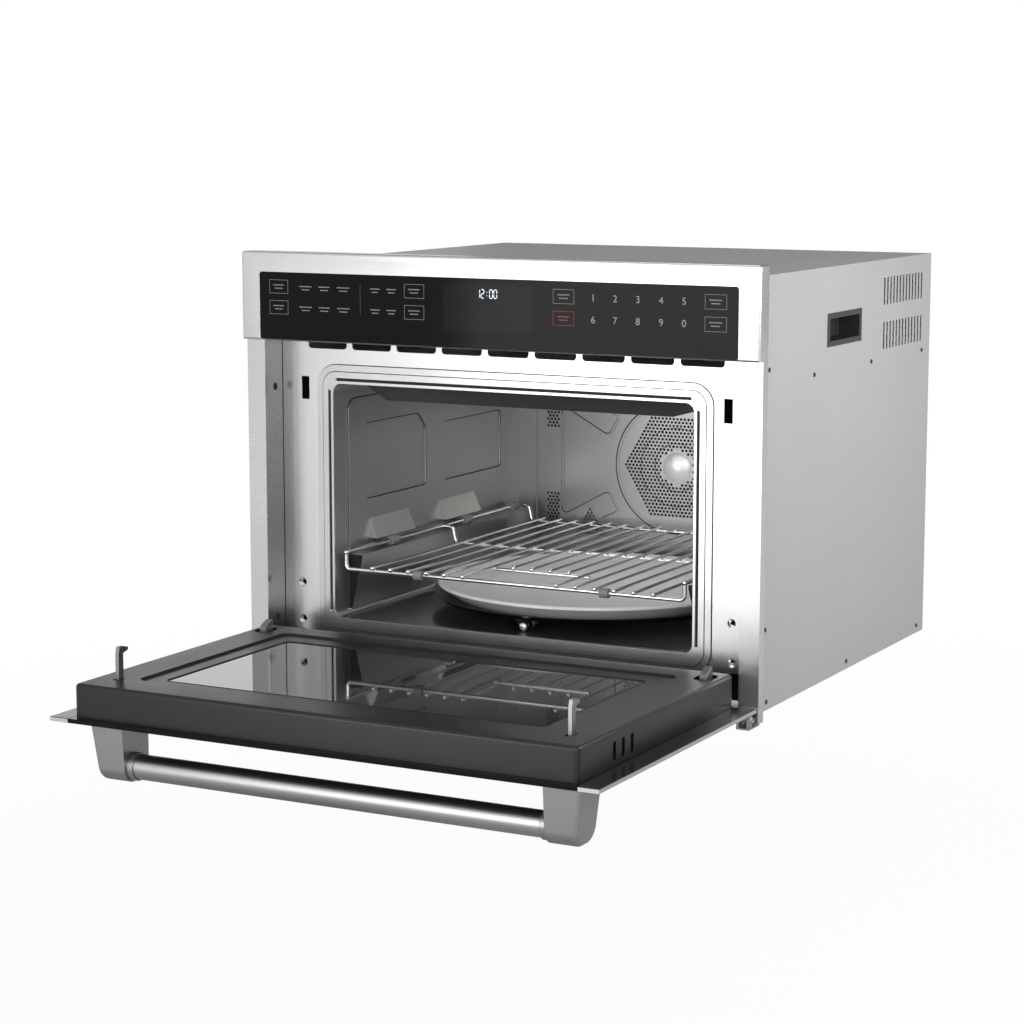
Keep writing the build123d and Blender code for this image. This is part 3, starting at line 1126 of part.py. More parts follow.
with BuildPart() as hinge_leaves:
    for _, s in SIDES:
        knuckle = (s * HINGE_X - KNUCKLE_W / 2, s * HINGE_X + KNUCKLE_W / 2)
        rod((knuckle[0], PIVOT_Y, PIVOT_Z), (knuckle[1], PIVOT_Y, PIVOT_Z), EAR_R)
        block(knuckle, (PIVOT_Y - EAR_R - LEAF_L, PIVOT_Y), (DOOR_OUTER - LEAF_T, DOOR_OUTER))
        rod((knuckle[0], PIVOT_Y, PIVOT_Z), (knuckle[1], PIVOT_Y, PIVOT_Z), PIN_R + RUN, Mode.SUBTRACT)
save(hinge_leaves, "hinge_leaves")

# Claws that stand out of the door and enter the front plate when it closes.
CLAW_FRONT, CLAW_BACK = [(y, PIVOT_Z + math.sqrt(CLAW_SWING_R ** 2 - (y - PIVOT_Y) ** 2)) for y in CLAW_Y]
with BuildPart() as hinge_claws:
    for _, s in SIDES:
        with BuildSketch(Plane.YZ.offset(s * CLAW_X - CLAW_T / 2)):
            with BuildLine():
                Polyline(CLAW_FRONT, (CLAW_Y[0], DOOR_INNER), (CLAW_Y[1], DOOR_INNER), CLAW_BACK)
                RadiusArc(CLAW_FRONT, CLAW_BACK, CLAW_SWING_R)
            make_face()
        extrude(amount=CLAW_T)
save(hinge_claws, "hinge_claws")

# Latch hooks that pivot in the door.
for side_name, s in SIDES:
    with BuildPart() as latch_hook:
        with BuildSketch(Plane.YZ.offset(s * LATCH_X - LATCH_T / 2)):
            with BuildLine():
                Polyline((LATCH_STEM[0], LATCH_PIVOT_Z), (LATCH_STEM[1], LATCH_PIVOT_Z),
                         (LATCH_STEM[1], LATCH_TOP - LATCH_HEAD_H),
                         (LATCH_STEM[1] + LATCH_HEAD, LATCH_TOP - LATCH_HEAD_H + LATCH_NOSE),
                         (LATCH_STEM[1] + LATCH_HEAD, LATCH_TOP - LATCH_NOSE), (LATCH_STEM[1], LATCH_TOP),
                         (LATCH_STEM[0] + LATCH_NOSE, LATCH_TOP), (LATCH_STEM[0], LATCH_TOP - LATCH_HEAD_H),
                         close=True)
            make_face()
            with Locations((STEM_MID, LATCH_PIVOT_Z)):
                Circle((LATCH_STEM[1] - LATCH_STEM[0]) / 2)
                Circle(LATCH_PIVOT_R + RUN, mode=Mode.SUBTRACT)
        extrude(amount=LATCH_T)
    save(latch_hook, f"latch_hook_{side_name}")

# Handle: two stand-offs, the tube and its collars.
for side_name, s in SIDES:
    with BuildPart() as handle_standoff:
        with BuildSketch(Plane.YZ.offset(s * STANDOFF_IN)):
            with BuildLine():
                FilletPolyline((STANDOFF_FRONT, DOOR_OUTER), (BAR_Y - STANDOFF_R, STANDOFF_LOW),
                               (STANDOFF_BACK, STANDOFF_LOW), (STANDOFF_BACK, DOOR_OUTER), radius=STANDOFF_R)
                Line((STANDOFF_BACK, DOOR_OUTER), (STANDOFF_FRONT, DOOR_OUTER))
            make_face()
        extrude(amount=s * STANDOFF_W)
        outer = s * (STANDOFF_IN + STANDOFF_W)
        with BuildSketch(Plane.XZ.offset(-STANDOFF_FRONT)):
            with BuildLine():
                Polyline((outer, DOOR_OUTER), (outer, STANDOFF_LOW), (outer - s * STANDOFF_TAPER, STANDOFF_LOW),
                         close=True)
            make_face()
        extrude(amount=STANDOFF_FRONT - STANDOFF_BACK, mode=Mode.SUBTRACT)
        outer_face = handle_standoff.faces().sort_by(Axis.X)[-1 if s > 0 else 0]
        fillet(outer_face.edges().filter_by(lambda edge: edge.center().Z < DOOR_OUTER - GAP), STANDOFF_EDGE_R)
    save(handle_standoff, f"handle_standoff_{side_name}")

with BuildPart() as handle_bar:
    rod((-STANDOFF_IN, BAR_Y, BAR_Z_AXIS), (STANDOFF_IN, BAR_Y, BAR_Z_AXIS), BAR_R)
    rod((-STANDOFF_IN, BAR_Y, BAR_Z_AXIS), (STANDOFF_IN, BAR_Y, BAR_Z_AXIS), BAR_R - BAR_WALL, Mode.SUBTRACT)
save(handle_bar, "handle_bar")

with BuildPart() as handle_collars:
    for _, s in SIDES:
        ends = ((s * (STANDOFF_IN - COLLAR_L), BAR_Y, BAR_Z_AXIS), (s * STANDOFF_IN, BAR_Y, BAR_Z_AXIS))
        rod(*ends, COLLAR_R)
        rod(*ends, BAR_R, Mode.SUBTRACT)
save(handle_collars, "handle_collars")
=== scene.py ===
import json
import math

import bmesh
import bpy
import numpy as np
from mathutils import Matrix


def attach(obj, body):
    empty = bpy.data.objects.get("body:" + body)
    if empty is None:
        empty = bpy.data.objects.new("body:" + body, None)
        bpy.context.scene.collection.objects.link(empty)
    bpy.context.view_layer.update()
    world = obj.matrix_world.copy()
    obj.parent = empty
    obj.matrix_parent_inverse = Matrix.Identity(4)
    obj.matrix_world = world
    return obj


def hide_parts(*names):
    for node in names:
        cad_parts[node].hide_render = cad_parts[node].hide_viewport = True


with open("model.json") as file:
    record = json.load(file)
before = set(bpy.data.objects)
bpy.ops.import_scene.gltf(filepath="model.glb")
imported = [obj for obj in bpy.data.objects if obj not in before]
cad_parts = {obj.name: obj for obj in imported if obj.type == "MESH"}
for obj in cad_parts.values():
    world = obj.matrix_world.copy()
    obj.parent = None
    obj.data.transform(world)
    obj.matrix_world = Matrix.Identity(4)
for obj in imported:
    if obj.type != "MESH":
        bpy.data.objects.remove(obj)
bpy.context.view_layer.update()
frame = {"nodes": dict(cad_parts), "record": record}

MM = 0.001
FULL_TURN = 2 * math.pi
SIDES = (("left", -1), ("right", 1))
FRONT, TOP = (0, -1, 0), (0, 0, 1)

# Places shared by several finishes and pieces, in millimetres, with the door open

FACE_Y = -279.6
FACE_SHEET = 1.2
GLASS_Y = FACE_Y - 8.8
PLATE_Y = FACE_Y + 35.0
RIM_Y = PLATE_Y - 1.5
GROOVE_Y = RIM_Y + 0.6
REAR_Y = PLATE_Y + 424.0
COLUMN_INSIDE_X = 277.2
WALL_X = 211.0
OVEN_FLOOR_Z = 58.5
FAN_Z = 184.0
SIDE_BAR_INNER_Z = 17.6
BAND_TOP_Z = 49.3
DOOR_BOX_TOP_Z = 51.5

BODY_OF = {
    node: body
    for body, nodes in frame["record"]["behaviour"]["bodies"].items()
    for node in nodes
}


# Shader maths

class Value:
    """A shader socket in Python arithmetic: an operator on it adds one Math node."""

    def __init__(self, tree, socket):
        self.tree = tree
        self.socket = socket

    def maths(self, operation, *terms):
        return self.tree.node("ShaderNodeMath", {"operation": operation}, dict(enumerate(terms)))

    def __add__(self, other):
        return self.maths("ADD", self, other)

    def __sub__(self, other):
        return self.maths("SUBTRACT", self, other)

    def __rsub__(self, other):
        return self.maths("SUBTRACT", other, self)

    def __mul__(self, other):
        return self.maths("MULTIPLY", self, other)

    def __gt__(self, other):
        return self.maths("GREATER_THAN", self, other)

    def __lt__(self, other):
        return self.maths("LESS_THAN", self, other)

    __radd__ = __add__
    __rmul__ = __mul__


class Tree:
    """A node tree, with the one method that adds any node to it."""

    def __init__(self, tree):
        self.tree = tree

    def node(self, kind, settings, inputs, output=0):
        made = self.tree.nodes.new(kind)
        for name, value in settings.items():
            if name == "stops":
                self.ramp(made.color_ramp, value)
            else:
                setattr(made, name, value)
        for name, value in inputs.items():
            self.feed(made.inputs[name], value)
        return Value(self, made.outputs[output])

    def ramp(self, ramp, stops):
        while len(ramp.elements) < len(stops):
            ramp.elements.new(0.5)
        for element, (place, tone) in zip(ramp.elements, stops):
            element.position = place
            element.color = (tone, tone, tone, 1)

    def feed(self, socket, value):
        if isinstance(value, Value):
            self.tree.links.new(value.socket, socket)
        else:
            socket.default_value = value

    def ray_kinds(self, *names):
        """One value for each named kind of ray: 1 for a ray of that kind."""
        kinds = self.tree.nodes.new("ShaderNodeLightPath").outputs
        return [Value(self, kinds[name]) for name in names]


class Finish(Tree):
    """One material: a Principled surface whose sockets take numbers, colours or worked-out
    values."""

    def __init__(self, name, **constants):
        self.material = bpy.data.materials.new(name)
        self.material.use_nodes = True
        super().__init__(self.material.node_tree)
        self.shader = self.tree.nodes["Principled BSDF"]
        self.set(**constants)
        self.place = self.node("ShaderNodeTexCoord", {}, {}, "Object")

    def set(self, **sockets):
        for name, value in sockets.items():
            self.feed(self.shader.inputs[name.replace("_", " ")], value)

    def spread(self, scale):
        """The place on the object, stretched by one factor along each axis."""
        return self.node("ShaderNodeMapping", {}, {"Vector": self.place, "Scale": scale})

    def along(self, axis):
        """The place along one axis."""
        return self.node("ShaderNodeSeparateXYZ", {}, {"Vector": self.place}, axis)

    def noise(self, scale, detail=3.0, rough=0.55):
        return self.node(
            "ShaderNodeTexNoise",
            {},
            {"Vector": self.spread(scale), "Scale": 1.0, "Detail": detail, "Roughness": rough},
        )

    def blend(self, share, first, second):
        """The first colour where the share is 0, the second where it is 1."""
        return self.node(
            "ShaderNodeMix",
            {"data_type": "RGBA"},
            {"Factor": share, 6: first, 7: second},
            2,
        )

    def relief(self, height, strength, depth):
        bump = {"Strength": strength, "Distance": depth, "Height": height}
        self.set(Normal=self.node("ShaderNodeBump", {}, bump))

    def mottle(self, grain):
        """A fine speckle, a broad drift, and the tint that the two make together."""
        speckle = self.noise((grain,) * 3, 2.0)
        drift = self.noise((9, 9, 9), 3.0)
        return speckle, drift, drift * 0.65 + speckle * 0.35


def grey(level, warmth=0.0):
    """A neutral colour at a linear level, a little warmer or cooler."""
    return (level * (1 + warmth), level, level * (1 - warmth), 1)


def brushed(name, dark, light, along, gloss, scratch=0.10):
    """Sheet brushed along one axis: noise drawn out along it tints the metal, spreads its gloss and
    scratches its surface, and a broad soft noise adds handling marks."""
    finish = Finish(name, Metallic=1.0)
    fine, middle, long, longer = 2600, 420, 9, 3.6
    lines = finish.noise([long if axis == along else fine for axis in "xyz"], 2.0)
    bands = finish.noise([longer if axis == along else middle for axis in "xyz"], 2.0)
    marks = finish.noise((7, 7, 7), 3.0)
    streak = lines * 0.6 + bands * 0.4
    finish.tint = streak * 0.6 + marks * 0.4
    finish.metal = finish.blend(finish.tint, dark, light)
    finish.set(Base_Color=finish.metal)
    finish.set(Roughness=gloss + (streak - 0.5) * 0.08 + (marks - 0.5) * 0.08)
    finish.relief(lines, scratch, 0.00006)
    return finish


def framed(name, dark, light, along, gloss):
    """Brushed sheet on the face, and behind it on the columns' returns the same metal with a darker
    colour
    painted on as shade: the change is where the depth passes the face's thickness and the width is
    inside the columns."""
    finish = brushed(name, dark, light, along, gloss)
    across = finish.along("X")
    behind = finish.along("Y") > (FACE_Y + FACE_SHEET) * MM
    inside = across.maths("ABSOLUTE", across) < COLUMN_INSIDE_X * MM
    # painted shade: the returns behind the face take a darker colour for the shade on them
    painted_return_shade = finish.blend(finish.tint, grey(0.20), grey(0.27))
    finish.set(Base_Color=finish.blend(behind * inside, finish.metal, painted_return_shade))
    return finish


def backed(name, dark, light, along, gloss):
    """Brushed sheet whose inner face is black lacquer: the change is at the height of that face in
    the open door."""
    finish = brushed(name, dark, light, along, gloss)
    inner = finish.along("Z") > SIDE_BAR_INNER_Z * MM
    lacquer = finish.blend(finish.tint, grey(0.010), grey(0.014))
    finish.set(Base_Color=finish.blend(inner, finish.metal, lacquer))
    finish.set(Metallic=1 - inner, Roughness=gloss - inner * 0.06)
    return finish


def oven_steel(name):
    """The oven's satin steel: even walls, a glossier rolled rim in front of the plate, and a
    darker, glossier floor, told apart by depth and by height."""
    finish = Finish(name, Metallic=0.92)
    speckle, drift, tint = finish.mottle(1200)
    on_rim = finish.along("Y") < (PLATE_Y + 0.2) * MM
    on_floor = (finish.along("Z") < OVEN_FLOOR_Z * MM) * (1 - on_rim)
    walls = finish.blend(tint, grey(0.40, 0.02), grey(0.49, 0.02))
    rim = finish.blend(tint, grey(0.52, 0.01), grey(0.62, 0.01))
    # the floor: a darker tone than the walls
    darker_floor = finish.blend(tint, grey(0.34), grey(0.44))
    finish.set(Base_Color=finish.blend(on_floor, finish.blend(on_rim, walls, rim), darker_floor))
    gloss = 0.36 + (speckle - 0.5) * 0.10 + (drift - 0.5) * 0.10
    finish.set(Roughness=gloss - on_rim * 0.14 - on_floor * 0.18)
    finish.relief(speckle, 0.3, 0.00003)
    return finish


def satin(name, dark, light, metal, gloss, grain=900, depth=0.00005, shine=0.5):
    """An even sheet, casting or moulding: a fine speckle in its surface, a broad drift in its tone
    and gloss."""
    finish = Finish(name, Metallic=metal, Specular_IOR_Level=shine)
    speckle, drift, tint = finish.mottle(grain)
    finish.set(Base_Color=finish.blend(tint, dark, light))
    finish.set(Roughness=gloss + (speckle - 0.5) * 0.12 + (drift - 0.5) * 0.10)
    finish.relief(speckle, 0.3, depth)
    return finish


def polished(name, dark, light, gloss):
    """Plated or ground metal: nearly a mirror, with a faint cloud in its gloss and fine pits."""
    finish = Finish(name, Metallic=1.0)
    cloud = finish.noise((40, 40, 40), 3.0)
    pits = finish.noise((1800,) * 3, 1.0)
    finish.set(Base_Color=finish.blend(cloud, dark, light))
    finish.set(Roughness=gloss + cloud * 0.08)
    finish.relief(pits, 0.06, 0.00003)
    return finish


def glassy(name, dark, light, gloss, shine, smear=0.06):
    """Back-painted or tinted glass, or glossy enamel: deep colour under a clear face that wiping
    has smeared a little."""
    finish = Finish(name, Metallic=0.0, IOR=1.5, Specular_IOR_Level=shine)
    wipe = finish.noise((16, 30, 10), 4.0, 0.6)
    dust = finish.noise((1500,) * 3, 1.0)
    finish.set(Base_Color=finish.blend(wipe * 0.8 + dust * 0.2, dark, light))
    finish.set(Roughness=gloss + wipe * smear)
    return finish


def glowing(name, colour, strength):
    """A mark that gives off light: the lit clock segments, and the printing, whose faint glow is
    painted light. Its light varies slightly from place to place, as a lit segment's does.
    """
    finish = Finish(name, Metallic=0.0, Roughness=0.4, Emission_Strength=strength)
    patch = finish.noise((500, 500, 500), 2.0)
    dim = tuple(c * 0.85 for c in colour[:3]) + (1,)
    light = finish.blend(patch, dim, colour)
    finish.set(Base_Color=light, Emission_Color=light)
    return finish


# Brushed: darkest and lightest tone, direction, gloss, and how deep the scratches look
STEEL = brushed("brushed_steel", grey(0.52), grey(0.63), "x", 0.27)
FRAME = framed("brushed_frame", grey(0.51), grey(0.60), "x", 0.26)
SIDE_BAR = backed("brushed_side_bar", grey(0.50), grey(0.60), "y", 0.27)
STEEL_TUBE = brushed("brushed_tube", grey(0.36), grey(0.44), "x", 0.33)
PLATE = brushed("front_plate_steel", grey(0.56, 0.01), grey(0.63, 0.01), "z", 0.25, 0.03)

# Polished: darkest and lightest tone, and gloss
CHROME = polished("bright_chrome", grey(0.62), grey(0.80), 0.10)

CAVITY = oven_steel("cavity_satin_steel")

# Satin: darkest and lightest tone, metal, gloss, fineness and depth of the grain, and shine
REAR_WALL = satin("rear_wall_steel", grey(0.31, 0.02), grey(0.37, 0.02), 0.92, 0.33, 1200, 0.00003)
SHEET = satin("zinc_coated_sheet", grey(0.33), grey(0.39), 0.25, 0.42, 700, 0.00004)
CHARCOAL = satin("charcoal_lacquer", grey(0.006), grey(0.009), 0.0, 0.34, 1500, 0.00004, 0.40)
PLASTIC = satin("black_moulding", grey(0.010), grey(0.018), 0.0, 0.42, 1100, 0.00008)
# Painted shade: the black of the dark lines along edges, steps and grooves, and of the dark sheets
# behind slots
PAINTED_SHADE = satin("dark_seal", grey(0.006), grey(0.012), 0.0, 0.55, 1300, 0.00004, 0.3)
ENAMEL = satin("dark_enamel", grey(0.042), grey(0.058), 0.0, 0.40, 800, 0.00004)
# Also painted shade: the dark plates on the front ends of the rack ledges
SOOT_AND_SHADE = satin("burnt_steel_and_painted_shade", grey(0.012), grey(0.022), 0.3, 0.55, 700, 0.00004, 0.2)
CERAMIC = satin("tray_ceramic", grey(0.80), grey(0.87), 0.0, 0.30, 500, 0.00003)
BUSH = satin("grey_bush", grey(0.20), grey(0.27), 0.0, 0.50, 900, 0.00006)
HINGE = satin("hinge_steel", grey(0.21), grey(0.29), 0.9, 0.40, 1000, 0.00005)
# Also painted shade: the dark plugs in the side screw holes
SCREW_AND_HOLE_SHADE = satin("blackened_screw_and_hole_shade", grey(0.008), grey(0.016), 0.2, 0.42, 1200, 0.00004, 0.3)
LATCH = satin("latch_alloy", grey(0.19), grey(0.26), 0.9, 0.32, 900, 0.00004)
STANDOFF = satin("standoff_alloy", grey(0.27), grey(0.35), 0.85, 0.34, 900, 0.00004)
CAP = satin("spun_cap_steel", grey(0.90), grey(0.95), 0.4, 0.33, 1400, 0.00003)
BOARD = satin("circuit_board", (0.02, 0.10, 0.04, 1), (0.03, 0.14, 0.06, 1), 0.0, 0.5, 600)
PLATED = satin("plated_sheet", grey(0.48, 0.03), grey(0.60, 0.03), 0.8, 0.40, 500)
MOTOR = satin("motor_steel", grey(0.36), grey(0.48), 0.8, 0.42, 600)
ALLOY = satin("fan_alloy", grey(0.50), grey(0.62), 0.8, 0.40, 700)
HEATER = satin("heater_tube", grey(0.10, 0.05), grey(0.16, 0.05), 0.6, 0.50, 500)
SCREEN = satin("screen_black", grey(0.010), grey(0.014), 0.2, 0.45, 900)

# Glassy: darkest and lightest tone, gloss, shine, and how much the smears dull it
BLACK_GLASS = glassy("black_glass", grey(0.005), grey(0.008), 0.05, 0.09)
WINDOW_GLASS = glassy("window_glass", grey(0.010), grey(0.016), 0.02, 0.38, 0.03)
GLOSS_BLACK = glassy("gloss_black_enamel", grey(0.003), grey(0.005), 0.12, 0.45)
LENS = glassy("display_lens", grey(0.008), grey(0.011), 0.06, 0.10)

# Glowing: colour and strength
# The printing glows faintly though nothing lights it: painted light
PRINT_PAINTED_GLOW = glowing("printed_white_painted_glow", grey(0.30), 0.08)
PRINT_RED_PAINTED_GLOW = glowing("printed_red_painted_glow", (0.36, 0.025, 0.03, 1), 0.20)
CLOCK = glowing("lit_segments", (0.80, 0.90, 1.0, 1), 0.7)


# Pieces

WELD = 2e-6
FLAT_ANGLE = 0.2
EDGE_ANGLE = 32.0
SHARPER = {"cavity_liner": 20.0}


def show(name, mesh, finish, body):
    """A mesh put in the scene as a piece that rides on a body, with its finish."""
    piece = bpy.data.objects.new(name, mesh)
    bpy.context.scene.collection.objects.link(piece)
    mesh.materials.clear()
    mesh.materials.append(finish.material)
    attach(piece, body)
    return piece


def dress(node, finish, edge, angle):
    """A CAD node merged by distance, its flat faces joined, its curves shaded smooth and its edges
    rounded where they are sharper than the angle."""
    work = bmesh.new()
    work.from_mesh(frame["nodes"][node].data)
    bmesh.ops.remove_doubles(work, verts=work.verts, dist=WELD)
    bmesh.ops.dissolve_limit(
        work, angle_limit=math.radians(FLAT_ANGLE), verts=work.verts, edges=work.edges
    )
    mesh = bpy.data.meshes.new(node + "_dressed")
    work.to_mesh(mesh)
    work.free()
    own_normals = mesh.attributes.get("custom_normal")
    if own_normals:
        mesh.attributes.remove(own_normals)
    mesh.shade_smooth()
    mesh.set_sharp_from_angle(angle=math.radians(angle))
    piece = show(node + "_dressed", mesh, finish, BODY_OF[node])
    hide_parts(node)
    rounding = piece.modifiers.new("rounded_edges", "BEVEL")
    rounding.width = edge
    rounding.segments = 2
    rounding.limit_method = "ANGLE"
    rounding.angle_limit = math.radians(angle)
    rounding.harden_normals = True


def coat(node, finish):
    """A CAD node that keeps its shape and takes a finish."""
    slots = frame["nodes"][node].data.materials
    slots.clear()
    slots.append(finish.material)


# Node, finish, slot, and the width of its rounded edges in millimetres
DRESSED = (
    ("outer_casing", SHEET, "casing_sheet", 0.12),
    ("rear_panel", SHEET, "casing_sheet", 0.12),
    ("base_pan", SHEET, "casing_sheet", 0.12),
    ("casing_screws", SCREW_AND_HOLE_SHADE, "motor_steel", 0.2),
    ("carry_handle_left", PLASTIC, "black_plastic", 0.6),
    ("carry_handle_right", PLASTIC, "black_plastic", 0.6),
    ("cord_gland", PLASTIC, "black_plastic", 0.5),
    ("front_plate", PLATE, "brushed_stainless", 0.3),
    ("front_frame", FRAME, "brushed_stainless", 0.4),
    ("control_panel_trim", STEEL, "brushed_stainless", 0.5),
    ("control_glass", BLACK_GLASS, "black_glass", 0.4),
    ("door_outer_glass", BLACK_GLASS, "black_glass", 0.4),
    ("door_side_bars", SIDE_BAR, "brushed_stainless", 0.4),
    ("door_inner_frame", CHARCOAL, "charcoal", 0.8),
    ("door_window_band", CHARCOAL, "charcoal", 0.3),
    ("door_inner_glass", WINDOW_GLASS, "tinted_glass", 0.3),
    ("hinge_bracket_left", HINGE, "hinge_steel", 0.3),
    ("hinge_bracket_right", HINGE, "hinge_steel", 0.3),
    ("hinge_claws", HINGE, "hinge_steel", 0.3),
    ("hinge_leaves", HINGE, "hinge_steel", 0.3),
    ("hinge_pins", CHROME, "polished_steel", 0.2),
    ("handle_bar", STEEL_TUBE, "brushed_stainless", 0.5),
    ("handle_collars", STANDOFF, "polished_steel", 0.4),
    ("handle_standoff_left", STANDOFF, "standoff_alloy", 0.5),
    ("handle_standoff_right", STANDOFF, "standoff_alloy", 0.5),
    ("latch_hook_left", LATCH, "latch_alloy", 0.3),
    ("latch_hook_right", LATCH, "latch_alloy", 0.3),
    ("cavity_liner", CAVITY, "cavity_steel", 0.4),
    ("heater_cover", ENAMEL, "dark_enamel", 0.3),
    ("fan_cap", CAP, "polished_steel", 0.4),
    ("turntable_tray", CERAMIC, "tray_ceramic", 0.5),
    ("turntable_pan", GLOSS_BLACK, "dark_enamel", 0.4),
    ("drive_hub", PLASTIC, "black_plastic", 0.3),
    ("roller_ball_1", CHROME, "polished_steel", 0.2),
    ("roller_ball_2", CHROME, "polished_steel", 0.2),
    ("roller_ball_3", CHROME, "polished_steel", 0.2),
    ("wire_rack", CHROME, "polished_steel", 0.2),
    ("rack_bushings", BUSH, "grey_bush", 0.4),
)

COATED = {
    "air_duct": PLATED,
    "blower_housing": PLATED,
    "blower_motor": MOTOR,
    "blower_wheel": ALLOY,
    "cavity_lamp": WINDOW_GLASS,
    "cavity_rear_wall": REAR_WALL,
    "control_board": BOARD,
    "convection_fan": SOOT_AND_SHADE,
    "convection_heater": SOOT_AND_SHADE,
    "convection_housing": SOOT_AND_SHADE,
    "convection_motor": MOTOR,
    "display_module": LENS,
    "door_screen": SCREEN,
    "grill_heater": HEATER,
    "hv_capacitor": ALLOY,
    "hv_transformer": MOTOR,
    "interlock_housings": PLASTIC,
    "magnetron": PLATED,
    "noise_filter": BOARD,
    "thermal_cutout": PLASTIC,
    "turntable_motor": MOTOR,
    "waveguide": PLATED,
}

for node, finish, slot, edge in DRESSED:
    dress(node, finish, edge * MM, SHARPER.get(node, EDGE_ANGLE))
for node, finish in COATED.items():
    coat(node, finish)


# Surfaces worked out from grids

GRID_WELD = 1e-6
CREASE_ANGLE = 40
SECTION_STEPS = 12


def grid_faces(rows, columns, closed):
    """The four-sided faces between rows of points: each row is closed round on itself, and the last
    row joins the first where the form is closed along its length too."""
    row, column = np.meshgrid(
        np.arange(rows if closed else rows - 1), np.arange(columns), indexing="ij"
    )
    here, there = row * columns, (row + 1) % rows * columns
    beside = (column + 1) % columns
    faces = np.stack((here + column, here + beside, there + beside, there + column), axis=-1)
    return faces.reshape(-1, 4)


def surface(name, grid, finish, body, closed):
    """A piece joined from rows of points. Points that fall together become one."""
    mesh = bpy.data.meshes.new(name)
    faces = grid_faces(*grid.shape[:2], closed)
    mesh.from_pydata(grid.reshape(-1, 3).tolist(), [], faces.tolist())
    work = bmesh.new()
    work.from_mesh(mesh)
    bmesh.ops.remove_doubles(work, verts=work.verts, dist=GRID_WELD)
    bmesh.ops.recalc_face_normals(work, faces=work.faces)
    work.to_mesh(mesh)
    work.free()
    mesh.shade_smooth()
    mesh.set_sharp_from_angle(angle=math.radians(CREASE_ANGLE))
    show(name, mesh, finish, body)


def seam(name, path, up, width, proud, body="chassis", finish=PAINTED_SHADE, closed=True, shift=0.0):
    """A low half-round section carried along a path: at each point it spans the width across the
    path, rises proud of it along up and sinks half as far below, all of it shifted sideways where
    asked. An open seam ends in flat faces."""
    path = np.asarray(path, float) * MM
    up = np.asarray(up, float) / np.linalg.norm(up)
    size = np.ones(len(path))
    ahead = np.roll(path, -1, 0) - np.roll(path, 1, 0)
    if not closed:
        ahead[0], ahead[-1] = path[1] - path[0], path[-1] - path[-2]
        path, ahead = (np.concatenate((part[:1], part, part[-1:])) for part in (path, ahead))
        size = np.concatenate(((0,), size, (0,)))
    across = np.cross(ahead / np.linalg.norm(ahead, axis=1)[:, None], up)
    path = path + shift * MM * across
    turn = np.linspace(0, FULL_TURN, SECTION_STEPS, endpoint=False)
    side = np.cos(turn) * width * MM / 2
    rise = np.where(np.sin(turn) > 0, np.sin(turn), np.sin(turn) / 2) * proud * MM
    section = side[None, :, None] * across[:, None] + rise[None, :, None] * up
    grid = path[:, None] + size[:, None, None] * section
    surface(name, grid, finish, body, closed)


def arc(radius, centre, turn):
    """The points of a circle at the given turns about its centre."""
    return np.column_stack((centre[0] + radius * np.cos(turn), centre[1] + radius * np.sin(turn)))


def circle(radius, centre, steps=72):
    """A full turn of equal steps about a centre, as a closed path."""
    return arc(radius, centre, np.linspace(0, FULL_TURN, steps, endpoint=False))


def rounded(half, low, high, radius, steps=10):
    """A rectangle with round corners, as a closed path: a quarter circle about each corner's centre
    in turn."""
    quarter = math.pi / 2
    turn = np.linspace(0, quarter, steps)
    x, bottom, top = half - radius, low + radius, high - radius
    centres = ((x, top), (-x, top), (-x, bottom), (x, bottom))
    arcs = [arc(radius, centre, turn + quarter * k) for k, centre in enumerate(centres)]
    return np.concatenate(arcs)


def bent(points, radius, steps=8):
    """Straight runs with rounded corners: each corner is a parabola between the points that lie one
    radius before and one radius after it."""
    points = np.asarray(points, float)
    before, corner, after = points[:-2], points[1:-1], points[2:]
    start = corner + radius * (before - corner) / np.linalg.norm(before - corner, axis=1)[:, None]
    end = corner + radius * (after - corner) / np.linalg.norm(after - corner, axis=1)[:, None]
    t = np.linspace(0, 1, steps)[None, :, None]
    arcs = (1 - t) ** 2 * start[:, None] + 2 * t * (1 - t) * corner[:, None] + t ** 2 * end[:, None]
    return np.concatenate((points[:1], arcs.reshape(-1, 2), points[-1:]))


def upright(flat, depth):
    """Places a path drawn in width and height on a plane across the front-to-back axis."""
    return np.column_stack((flat[:, 0], np.full(len(flat), depth), flat[:, 1]))


def level(flat, height):
    """Places a path drawn in width and depth on a level plane."""
    return np.column_stack((flat[:, 0], flat[:, 1], np.full(len(flat), height)))


# Dark lines of painted shade round the mouth, and strips of it in the rim's grooves
RIM_OUTLINE = {"half": 231.4, "low": 37.6, "high": 332.4, "radius": 23.4}
STEP_OUTLINE = {"half": 223.9, "low": 45.1, "high": 324.9, "radius": 15.9}
TOP_GROOVE_SHADE_HALF, TOP_GROOVE_SHADE_Z = 207.0, 316.4
SIDE_GROOVE_SHADE_X, SIDE_GROOVE_SHADE_LOW, SIDE_GROOVE_SHADE_HIGH = 215.4, 65.5, 304.5
CORNER_X, CORNER_LOW, CORNER_HIGH = 275.7, 4.0, 358.0
GROOVE_SHADE_WIDTH, GROOVE_SHADE_PROUD = 3.1, 0.5


